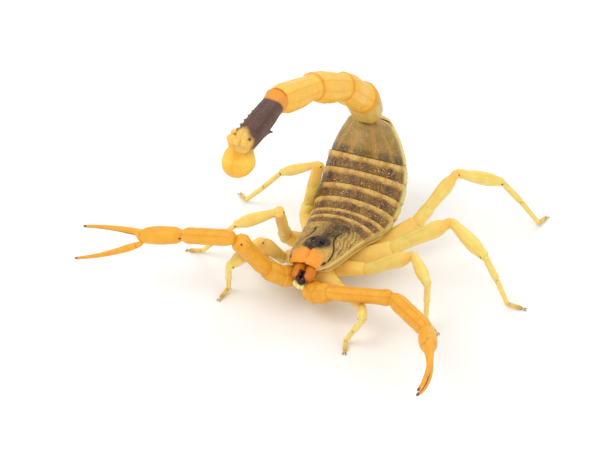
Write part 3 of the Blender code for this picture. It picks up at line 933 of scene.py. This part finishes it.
# %% [markdown]
# Where two lengths of a limb meet at a sharp angle, each solid stops short of the point
# where their middle lines would cross. The detailed tubes run on to that point, so the
# knee is as long as on the animal.

# %% Reach of a joint
LONGEST_REACH = 1.6


def short_of_joint(first, second):
    """How far the end of one length and the start of the next stop short of their joint."""
    ahead, behind = unit(first[-1] - first[-2]), unit(second[0] - second[1])
    gap = second[0] - first[-1]
    cosine = ahead @ behind
    turned = max(1 - cosine**2, 0.05)
    half = np.linalg.norm(gap) / 2
    far = (gap @ ahead - (gap @ behind) * cosine) / turned
    near = ((gap @ ahead) * cosine - gap @ behind) / turned
    return float(np.clip(far, half, LONGEST_REACH)), float(np.clip(near, half, LONGEST_REACH))


print("a joint may reach up to", LONGEST_REACH, "mm")

# %% [markdown]
# ## Walking legs
# A leg has seven parts: hip, ring, thigh, knee, shin and two foot parts. The foot has
# short bristles, two spurs at each joint, and a pair of hooked claws at its tip.

# %% Feet
CLAW_LENGTH = 0.66


def paler_below(angle, share):
    """Painted glow: a thin-walled limb is paler on its lower side, where light shows through its wall."""
    return share * smooth(-np.sin(angle), -0.2, 0.8)


def foot_paint(s, angle):
    return {"ridge": 1.0 - smooth(s, 0.1, 1.0), "tone": 0.3 * (1 - smooth(s, 0.0, 0.3))}


def toe_paint(s, angle):
    return {"ridge": 0.9, "tone": 0.12 + 0.3 * bell(s, 0.4) + 0.3 * smooth(s, 1.0, 2.2)}


def claw_paint(s, angle):
    return {"tone": 0.55 * smooth(s, 0.0, 0.5)}


def spurs(bm, at, s):
    """A pair of short spines under a foot joint."""
    centre, side, up, _ = stand_on(at, s)
    for way in (-1, 1):
        lean = side * way * 0.6 - up * 0.7 - np.cross(up, side) * 0.4
        spike(bm, centre + side * way * 0.15, lean, 0.55, 0.07, tone=0.4)


def claw(bm, root, ahead, sideways):
    """A hooked claw at a foot's tip, bent out to one side and down."""
    steps = np.linspace(0, 1, 5)[:, None]
    bend = sideways * 0.35 * np.sin(2 * steps) - UP * 0.225 * steps**2
    points = root + CLAW_LENGTH * (ahead * steps + bend)
    points[:, 2] = np.maximum(points[:, 2], 0.1)
    at, keys = line_through(points, [0.13, 0.11, 0.085, 0.06, 0.03])
    tube(bm, at, (0, keys[-1]), caps=(0.1, 0.06), around=10, along=14, paint=claw_paint)


def foot_parts(bm, shin, shin_long, foot):
    """The two foot parts with all that stands on them, and the shin's bristles."""
    upper, upper_long = segment(bm, foot[3:7], (0.41, 0.36), reach=(0.45, 0.2), caps=(0.3, 0.2),
                                ends=(0.96, 1.0), around=24, paint=foot_paint)
    toe, toe_long = segment(bm, foot[6:], (0.32, 0.31), reach=(0.35, 0.0), caps=(0.3, 0.3),
                            ends=(1.0, 0.9), around=20, paint=toe_paint)
    bristles(bm, shin, (0.8, shin_long), (-60, 150), 1.9, 0.36)
    bristles(bm, upper, (0.6, upper_long), (-50, -130, 60), 1.1, 0.42)
    bristles(bm, toe, (0.3, toe_long - 0.3), (-60, -120), 0.5, 0.36)
    spurs(bm, shin, shin_long)
    spurs(bm, upper, upper_long)
    ahead = unit((foot[-1] - foot[-2]) * [1, 1, 0])
    for way in (-1, 1):
        claw(bm, foot[-1] + ahead * 0.02, ahead, np.cross(ahead, UP) * way)


print("foot helpers ready")

# %% [markdown]
# The thigh and knee are flat from side to side, with four low keels. They are pale
# yellow and slightly clear, rust-tinted at the knee, with dark hinge knobs. Everything
# of one leg is one mesh, and nothing of it may reach below the floor.

# %% Legs
LEG_KEELS = ((60, 0.05, 9, 0), (120, 0.05, 9, 0), (-55, 0.05, 9, 0), (-125, 0.05, 9, 0))
LEG_ROOTS = np.array([0, between_eyes[1] + 4.0, 4.0])
HIP_SIZE = {1: 0.95, 2: 0.95, 3: 1.12, 4: 1.12}
# The thigh that lies against the trunk is a little duskier than the others.
DUSK = {("right", 4): 0.14}
# Radii of thigh and knee as shares of the solid's, from the body outwards.
THIGH = (1.2, 1.12, 0.96)
EVEN_THIGH = (1.05, 0.98, 1.12)
KNEE = (1.0, 1.12, 1.16, 1.04)
FLAT = 0.84
SHARP_BEND = 1.0


def hip_parts(bm, hip, big):
    """The hip and the ring between trunk and thigh, big times their usual thickness."""
    segment(bm, hip[:3], [1.15 * big], reach=(2.6, -0.1), caps=(0.9, 0.8), ends=(1.1, 0.82), wide=1.1,
            keels=LEG_KEELS, paint=lambda s, angle: {"rim": 0.35})
    segment(bm, hip[2:5], [0.96 * big], reach=(0.75, -1.0), caps=(0.6, 0.9), ends=(0.98, 0.98), along=32,
            paint=lambda s, angle: {"rim": 0.3 * (1 - smooth(s, 0.0, 0.8))})


def leg(side, number):
    name = f"leg_{side}_{number}"
    nodes = [f"{name}_{part}" for part in ("femur", "patella", "foot")]
    hip, hip_r = measured(rings_of(nodes[0], LEG_ROOTS))
    knee, knee_r = measured(rings_of(nodes[1], hip[-1]))
    foot, foot_r = measured(rings_of(nodes[2], knee[-1]))
    thigh_short, knee_start_short = short_of_joint(hip, knee)
    knee_end_short, shin_short = short_of_joint(knee, foot)
    thigh_long = lengths_along(hip[3:])[-1]
    sharply_bent = thigh_short > SHARP_BEND
    slim = 0.8 if sharply_bent else 1.0
    dusk = DUSK.get((side, number), 0.0)

    def thigh_paint(s, angle):
        return {"rim": 0.62 * smooth(s, thigh_long - 3.0, thigh_long), "tone": dusk,
                "glow": paler_below(angle, 0.3)}

    def knee_paint(s, angle):
        return {"rim": 0.35 * (1 - smooth(s, 0, 1.2)), "glow": paler_below(angle, 0.5)}

    bm = new_mesh()
    hip_parts(bm, hip, HIP_SIZE[number])
    thigh, _ = segment(bm, hip[3:], hip_r[4:-1] * (EVEN_THIGH if sharply_bent else THIGH),
                       reach=(0.5, thigh_short + 0.3), caps=(1.3, 0.5), ends=(0.86, 1.0),
                       keels=LEG_KEELS, wide=FLAT, along=64, paint=thigh_paint)
    hinge(bm, thigh, thigh_long + thigh_short - 0.12, FLAT * 0.9)
    knee_at, knee_long = segment(bm, knee, knee_r[1:-1] * slim * KNEE,
                                 reach=(knee_start_short + 0.45, knee_end_short + 0.2), caps=(0.6, 0.4),
                                 ends=(0.96, 1.0), keels=LEG_KEELS, wide=FLAT, paint=knee_paint)
    hinge(bm, knee_at, knee_long + 0.1, FLAT * 0.9)
    shin, shin_long = segment(bm, foot[:4], foot_r[1:3] * slim * (1.08, 1.04),
                              reach=(shin_short + 0.35, 0.25), caps=(0.4, 0.25), ends=(1.0, 1.0), around=24)
    hinge(bm, shin, shin_long - 0.02, 0.9, size=0.13)
    foot_parts(bm, shin, shin_long, foot)
    for vertex in bm.verts:
        vertex.co.z = max(vertex.co.z, 0.0)
    finish(name, bm, straw, nodes)


for side in ("left", "right"):
    for number in range(1, 5):
        leg(side, number)
print("legs done")

# %% [markdown]
# ## Arms
# The arms are amber and rougher than the legs: each part is roughly four-sided, with
# keels along its edges. The two parts next to the body are covered in small bumps.

# %% Arms
ARM_KEELS = ((42, 0.05, 8, 0), (138, 0.05, 8, 0), (-42, 0.04, 8, 0), (-138, 0.04, 8, 0.5), (90, 0.02, 6, 0))
ARM_ROOTS = np.array([0, eye_centres[0][1] - 2.0, 5.0])
INTO_BODY = np.array([-0.75, 2.2, -0.9])
UPPER_ARM_SHARE = {"left": 0.86, "right": 1.04}
FOREARM_SHARE = {"left": 0.92, "right": 0.9}
rough = {"keels": ARM_KEELS, "along": 64, "around": 64}


def bumpy(s, angle):
    """Small scattered bumps on a tube."""
    return 1 + 0.05 * grains(angle * 1.3, s, 0.3)


def arm(side):
    """The arm from body to wrist. It returns where its palm begins."""
    name = f"arm_{side}"
    nodes = [f"{name}_{part}" for part in ("trochanter", "femur", "patella")]
    ring, _ = measured(rings_of(nodes[0], ARM_ROOTS))
    upper_arm, _ = measured(rings_of(nodes[1], ring[-1]))
    forearm, _ = measured(rings_of(nodes[2], upper_arm[-1]))
    inward = unit(INTO_BODY * [ring[0][0], 1, 1])
    hip = [ring[0] + inward * 2.7, ring[0] + inward * 1.3, ring[0]]
    upper_r = np.array([1.25, 1.28, 1.3, 1.4]) * UPPER_ARM_SHARE[side]
    forearm_r = np.array([1.32, 1.36, 1.34, 1.26]) * FOREARM_SHARE[side]
    bm = new_mesh()
    segment(bm, hip, [1.6], reach=(0.3, 0.5), caps=(0.9, 0.5), ends=(0.84, 0.95), **rough, shape=bumpy)
    segment(bm, ring, [1.4, 1.5], reach=(0.8, 0.7), caps=(0.8, 0.6), ends=(0.95, 0.92), **rough, shape=bumpy)
    at, length = segment(bm, upper_arm, upper_r, reach=(0.9, 0.6), caps=(0.6, 0.5), ends=(0.9, 0.9), **rough)
    hinge(bm, at, length + 0.2, 0.9)
    at, length = segment(bm, forearm, forearm_r, reach=(0.8, 0.5), caps=(0.6, 0.5), ends=(0.88, 0.84),
                         **rough)
    hinge(bm, at, length + 0.1, 0.9)
    finish(name, bm, amber, nodes)
    return forearm[-1]


print("arm maker ready")

# %% [markdown]
# ## Pincers
# The hands are slim and smooth. The palm runs on into the fixed finger, and the moving
# finger is a piece of its own. Each finger has a row of dark teeth along the edge that
# faces the other, a dark hooked tip, and a thin dark ring at its root.

# %% Pincers
PALM_SHARE = {"left": 0.9, "right": 0.93}
PALM_KEELS = ((60, 0.02, 8, 0), (110, 0.02, 8, 0), (-40, 0.02, 8, 0))
# Numbers of the solids' rings where the fingers start and at the middle of each finger.
FINGER_START = 4
HAND_MIDDLE, FINGER_MIDDLE = 8, 4


def inner_edge(at, s, other):
    """The angle round a tube at which a place on another tube lies."""
    centre, side, up, _ = stand_on(at, s)
    towards = other - centre
    return math.atan2(towards @ up, towards @ side)


def finger_look(start, stop, teeth, ring_at):
    """Teeth from start to stop along a finger, at the angle teeth, and a ring at its root."""
    def edge_of(s, angle):
        return bell(turned_from(angle, teeth), 0.2) * smooth(s, start, start + 0.8)

    def shape(s, angle):
        return 1 + 0.26 * edge_of(s, angle) * (0.5 + 0.5 * np.cos(2 * math.pi * s / 0.3))

    def paint(s, angle):
        mottle = grains(angle * 1.5, s, 0.6, 4.0)
        root = 0.25 * bell(s - ring_at, 0.13)
        tip = smooth(s, stop - 0.7, stop - 0.1)
        return {"ridge": np.clip(smooth(s, start, stop) * (0.7 + 0.5 * mottle) + root, 0, 1),
                "tone": np.clip(0.9 * edge_of(s, angle) + 0.75 * tip + root, 0, 1)}
    return {"shape": shape, "paint": paint}


def pincer(side, wrist):
    name = f"arm_{side}"
    hand, hand_r = measured(rings_of(f"{name}_hand", wrist))
    finger, finger_r = measured(rings_of(f"{name}_finger", hand[FINGER_START]))
    palm_r = np.array([0.9, 1.22, 1.42, 1.42, 1.15]) * PALM_SHARE[side]
    fixed_r = hand_r[FINGER_START + 1:]
    hand_radii = [*palm_r, *fixed_r * np.linspace(0.98, 0.72, len(fixed_r))]
    hand_at, hand_keys = line_through(hand, hand_radii)
    finger_at, finger_keys = line_through(finger, finger_r * np.linspace(0.98, 0.72, len(finger_r)))
    hand_middle, finger_middle = hand_keys[HAND_MIDDLE], finger_keys[FINGER_MIDDLE]
    hand_teeth = inner_edge(hand_at, hand_middle, stand_on(finger_at, finger_middle)[0])
    finger_teeth = inner_edge(finger_at, finger_middle, stand_on(hand_at, hand_middle)[0])

    bm = new_mesh()
    palm_end = hand_keys[FINGER_START]
    look = finger_look(palm_end + 0.7, hand_keys[-1], hand_teeth, palm_end)
    tube(bm, hand_at, (-0.65, hand_keys[-1] + 0.1), caps=(0.6, 0.4), around=48, along=170,
         keels=PALM_KEELS, **look)
    hinge(bm, hand_at, 0.15, 0.9)
    finish(f"{name}_palm", bm, amber, [f"{name}_hand"])
    bm = new_mesh()
    look = finger_look(0.6, finger_keys[-1], finger_teeth, 0.25)
    tube(bm, finger_at, (-0.9, finger_keys[-1] + 0.1), caps=(0.9, 0.4), around=32, along=150, **look)
    finish(f"{name}_moving_finger", bm, amber, [f"{name}_finger"])


for side in ("left", "right"):
    pincer(side, arm(side))
print("arms and pincers done")

# %% [markdown]
# ## Tail
# The tail is five hard rings and a sting. The first is olive yellow and the next three
# amber, with ten low keels each and a deeper orange line where one fits into the next.
# The fifth is long, dark purple brown and rough. A ring's keels, groove and belly are
# all changes of one tube's radius, so that they flow into one another.

# %% Tail helpers
RING_KEELS = ((74, 0.02, 4, 0), (106, 0.02, 4, 0), (44, 0.03, 4, 0), (136, 0.03, 4, 0), (2, 0.035, 4, 0),
              (178, 0.035, 4, 0), (-32, 0.035, 4, 0.34), (212, 0.035, 4, 0.34), (-60, 0.045, 5, 0.36),
              (240, 0.045, 5, 0.36))
END_KEELS = ((90, 0.05, 5, 0.4), (50, 0.06, 6, 0.42), (130, 0.06, 6, 0.42), (5, 0.04, 6, 0.36),
             (175, 0.04, 6, 0.36), (-50, 0.04, 7, 0.36), (230, 0.04, 7, 0.36))


def tail_shape(length):
    """A groove above, a belly below and fine grains, for a ring of this length."""
    def shape(s, angle):
        groove = -0.08 * bell(turned_from(angle, -math.pi / 2), 0.3)
        belly = 0.11 * smooth(-np.sin(angle), -0.1, 0.9) * np.sin(math.pi * np.clip(s / length, 0, 1))
        return 1 + groove + belly + 0.012 * grains(angle * 2.2, s, 0.34)
    return shape


def ring_paint(end):
    """A ring's paint: pale sides, and an orange line where it holds the next ring."""
    def paint(s, angle):
        line = smooth(s, end - 0.27, end - 0.15)
        return {"rim": np.clip(line + 0.5 * (1 - smooth(s, -0.2, 0.0)), 0, 1),
                "glow": 0.4 * bell(np.cos(angle), 0.7)}
    return paint


def dark_paint(start, end):
    """The dark length's paint: orange where it leaves the ring before, and a pale end."""
    def paint(s, angle):
        begin = 1 - smooth(s + 0.3 * np.cos(2 * angle), start + 1.7, start + 2.2)
        pale = smooth(s + 0.7 * np.cos(angle - 0.6) + 0.2 * np.sin(5 * angle), end - 2.4, end - 1.1)
        return {"glow": pale, "rim": 0.9 * begin * (1 - pale)}
    return paint


print("tail helpers ready")

# %% Tail rings
RING_CAPS = (0.4, 0.22)
tail_line = [trunk_rows(np.array([trunk_end]))[0, :3]]
collar = 0


def tail_tube(number, bm, at, span, length, keels, paint, look):
    """Adds a tail ring's tube to a mesh and makes the mesh a piece."""
    tube(bm, at, span, RING_CAPS, around=112, along=110, keels=keels, shape=tail_shape(length), paint=paint)
    finish(f"tail_ring_{number}", bm, look, [f"tail_{number}"])


for number in range(1, 5):
    centres, radii = measured(rings_of(f"tail_{number}", tail_line[-1]))
    tail_line.append(centres[-1])
    first = collar * 0.95 if collar else radii[1] * 1.1
    collar = radii[-2] * 1.07
    at, keys = line_through(centres[1:-1], [first, *radii[2:-2], collar])
    span = (-0.95, keys[-1] + 0.8)
    look = tail_amber if number > 1 else tail_olive
    tail_tube(number, new_mesh(), at, span, keys[-1], RING_KEELS, ring_paint(span[1]), look)
print("tail rings 1 to 4 done")

# %% [markdown]
# The dark length carries two rows of blunt teeth above, growing towards the sting, and
# ends in a cluster of pale lobes that hold the poison bulb. Teeth and lobes are knobs set
# on the same tube.

# %% Dark length of the tail
TEETH = np.array([0.13, 0.15, 0.18, 0.22, 0.27, 0.33])
# Degrees round the tail, place past its end, radius and lift of each pale lobe.
LOBES = ((26, -0.3, 0.68, 1.22), (46, 0.2, 0.74, 1.2), (78, 0.3, 0.6, 0.95), (4, 0.1, 0.56, 1.0),
         (128, 0.0, 0.55, 0.9), (36, -1.2, 0.46, 1.2))


def knob_on(bm, at, s, degrees, size, lift, **marks):
    """A knob on a tube, its middle at lift times the tube's radius."""
    centre, side, up, radius = stand_on(at, s)
    out = side * math.cos(math.radians(degrees)) + up * math.sin(math.radians(degrees))
    knob(bm, centre + out * radius * lift, size, **marks)


centres, radii = measured(rings_of("tail_5", tail_line[-1]))
tail_line.append(centres[-1])
at, keys = line_through(centres, radii * [1.9, 1.12, 0.93, 0.93, 0.93, *np.ones(len(radii) - 5)])
tail_long = keys[-1]
span = (-0.9, tail_long + 0.3)
bm = new_mesh()
tooth_at = np.linspace(tail_long * 0.4, tail_long - 0.9, len(TEETH))
for s, size in zip(tooth_at, TEETH):
    knob_on(bm, at, s, 40, size, 1.02, ridge=1.0, glow=0.5)
for s, size in zip(tooth_at, TEETH * 0.7):
    knob_on(bm, at, s, 140, size, 0.98, ridge=1.0)
for degrees, past_end, size, lift in LOBES:
    knob_on(bm, at, tail_long + past_end, degrees, size, lift, glow=1.0)
tail_tube(5, bm, at, span, tail_long, END_KEELS, dark_paint(*span), tail_dark)
print("dark length of the tail %.1f mm long" % tail_long)

# %% [markdown]
# The last part is a smooth yellow poison bulb on a short neck. The sting curves out of
# it, amber at its root and nearly black at its needle tip.

# %% Bulb and sting
BULB_KEELS = ((90, 0.015, 6, 0), (-50, 0.02, 6, 0.4), (230, 0.02, 6, 0.4))


def bulb_paint(s, angle):
    # Painted highlight: glow makes the bulb paler round its upper sides.
    return {"glow": 0.6 * bell(np.sin(angle) - 0.3, 0.6), "ridge": 0.3 * bell(np.cos(angle), 0.12)}


def sting_paint(s, angle):
    return {"tone": smooth(s, 1.2, 3.2)}


centres, radii = measured(rings_of("sting_bulb", tail_line[-1]))
tail_line.append(centres[-1])
at, keys = line_through(centres, radii * [1.3, 1.08, 1.1, 1.1, 1.05, 1.2])
bm = new_mesh()
tube(bm, at, (-0.5, keys[-1] + 0.15), caps=(1.7, 0.8), around=80, along=80, keels=BULB_KEELS,
     paint=bulb_paint)
finish("poison_bulb", bm, bulb_yellow, ["sting_bulb"])

centres, radii = measured(rings_of("sting", tail_line[-1]))
at, keys = line_through(centres, radii * [1.25, 1.05, 0.95, 0.8, 0.4])
bm = new_mesh()
tube(bm, at, (-0.7, keys[-1] + 0.25), caps=(0.5, 0.3), around=32, along=70, paint=sting_paint)
finish("sting_needle", bm, bulb_yellow, ["sting"])
print("bulb and sting done")

# %% [markdown]
# ## Jaws
# Two short orange jaws stick out under the shield. Each ends in a small pincer with dark
# hooks. Between and below them lie the soft pale lobes of the mouth.

# %% Jaws
JAW_ROOTS = np.array([0, 0, 6.0])
JAW_SHIFT = 0.22
JAW_RADII = (0.86, 0.9, 0.92, 0.86, 0.74)
HOOK_RADII = (0.36, 0.28, 0.2, 0.1)
# Lift and size of a jaw's hooks, then place across, ahead and up and radius of the lobes.
HOOKS = ((0.35, 0.9), (-0.4, 0.8))
MOUTH_LOBES = ((-0.95, -0.15, -1.4, 0.55), (-0.3, -0.5, -1.5, 0.5), (0.35, -0.5, -1.5, 0.5),
               (1.0, -0.15, -1.35, 0.55), (-0.6, 0.5, -1.3, 0.8), (0.6, 0.5, -1.3, 0.8))


def jaw_paint(way, length):
    """Darker towards the tip, and darker on the side that faces the other jaw as painted shade in the gap
    between the jaws.
    """
    def paint(s, angle):
        tip = smooth(s, length * 0.7, length) * 0.8
        # Painted shade on the side that faces the gap between the jaws.
        gap_shade = smooth(np.cos(angle) * way, 0.1, 0.6) * smooth(s, length * 0.1, length * 0.4)
        return {"tone": np.clip(tip + gap_shade, 0, 1)}
    return paint


def hook_paint(s, angle):
    return {"tone": 0.7 + 0.3 * smooth(s, -0.1, 0.7)}


def jaw(side, centres):
    """A jaw on the given side with the two hooks of its pincer."""
    way = 1 if side == "left" else -1
    inward = -LEFT * way
    at, keys = line_through(centres + inward * JAW_SHIFT, JAW_RADII)
    length = keys[-1]
    bm = new_mesh()
    tube(bm, at, (-1.3, length * 0.85), caps=(0.8, 0.7), around=48, along=60, shape=bumpy,
         paint=jaw_paint(way, length))
    centre, across, up, _ = stand_on(at, length * 0.6)
    along = np.cross(up, across)
    for lift, size in HOOKS:
        root = centre + inward * 0.2 + up * lift
        tip = root + along * 0.95 * size
        points = [root, root + along * 0.6 * size + inward * 0.15, tip + inward * 0.5 - up * 0.15,
                  tip + inward * 0.9 - up * 0.35]
        hook_at, hook_keys = line_through(points, HOOK_RADII)
        tube(bm, hook_at, (-0.3, hook_keys[-1]), caps=(0.3, 0.15), around=24, along=30, paint=hook_paint)
    finish(f"jaw_{side}", bm, jaw_orange, [f"chelicera_{side}"])


jaw_lines = [measured(rings_of(f"chelicera_{side}", JAW_ROOTS))[0] for side in ("left", "right")]
for side, centres in zip(("left", "right"), jaw_lines):
    jaw(side, centres)
mouth = np.mean([centres.mean(0) for centres in jaw_lines], axis=0)
bm = new_mesh()
for *offset, size in MOUTH_LOBES:
    knob(bm, mouth + offset, size, glow=0.6)
finish("mouth_lobes", bm, straw, ())
print("jaws done")

# %% [markdown]
# ## Hip plates and combs
# Under the head lie the hip plates, one smooth pale surface. Behind them hang the two
# combs that feel the ground. The solid combs have every tooth already, so they stay as
# they are and only get their finish.

# %% Hip plates and combs
HIP_EDGE = 0.3

place = belly_place(0.3, belly_borders[0] + 0.2, HIP_EDGE, slits=0.0)
sheet("hip_plates", 90, 60, place, belly_pale, ["coxal_plate"], PLATE_WALL)
for side in ("left", "right"):
    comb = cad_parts[f"pecten_{side}"]
    comb.data.materials.clear()
    comb.data.materials.append(comb_pale)
print("hip plates and combs done")

# %% [markdown]
# ## Floor and light
# The model stands on a plain pale floor under soft studio light: a key light from the
# front left, a weaker fill light from the right and one light from behind.

# %% Floor and light
FLOOR_SIZE = 4000.0
# Name, place, size and power of each light.
LIGHTS = (("key_light", (-160, -150, 330), 260, 0.55), ("fill_light", (260, -120, 200), 300, 0.25),
          ("back_light", (0, 300, 260), 260, 0.3))
aim = Vector((-5.910, 13.094, 0)) * MM

bm = bmesh.new()
bmesh.ops.create_grid(bm, x_segments=1, y_segments=1, size=FLOOR_SIZE * MM / 2)
floor_mesh = bpy.data.meshes.new("floor")
bm.to_mesh(floor_mesh)
bm.free()
floor = bpy.data.objects.new("floor", floor_mesh)
bpy.context.scene.collection.objects.link(floor)
paper = bpy.data.materials.new("floor_paper")
paper.use_nodes = True
paper_shader = paper.node_tree.nodes["Principled BSDF"]
paper_shader.inputs["Base Color"].default_value = (0.93, 0.93, 0.93, 1)
paper_shader.inputs["Roughness"].default_value = 0.9
floor_mesh.materials.append(paper)
for name, place, size, power in LIGHTS:
    lamp = bpy.data.lights.new(name, "AREA")
    lamp.shape = "DISK"
    lamp.size = size * MM
    lamp.energy = power
    light = bpy.data.objects.new(name, lamp)
    light.location = Vector(place) * MM
    light.rotation_euler = (aim - light.location).to_track_quat("-Z", "Y").to_euler()
    bpy.context.scene.collection.objects.link(light)
world = bpy.data.worlds.new("studio")
world.use_nodes = True
world.node_tree.nodes["Background"].inputs["Color"].default_value = (1, 1, 1, 1)
world.node_tree.nodes["Background"].inputs["Strength"].default_value = 0.75
bpy.context.scene.world = world
bpy.context.scene.view_settings.view_transform = "Standard"
print("lights:", len(LIGHTS))

# %% [markdown]
# ## Camera
# The camera looks down on the model from its front, a little to one side, and from
# 26 cm away. The long lens keeps the near pincers from looking too large.

# %% Camera
AZIMUTH, ELEVATION, DISTANCE = math.radians(22), math.radians(38), 260.0
LENS, SENSOR = 94.82, 36

lens = bpy.data.cameras.new("camera")
lens.sensor_width = SENSOR
lens.lens = LENS
lens.clip_start = 0.001
camera = bpy.data.objects.new("camera", lens)
level = Vector((math.sin(AZIMUTH), -math.cos(AZIMUTH), 0)) * math.cos(ELEVATION)
back = level + Vector((0, 0, math.sin(ELEVATION)))
camera.location = aim + back * DISTANCE * MM
camera.rotation_euler = (-back).to_track_quat("-Z", "Y").to_euler()
bpy.context.scene.collection.objects.link(camera)
bpy.context.scene.camera = camera
print("camera at", [round(value / MM) for value in camera.location], "mm")
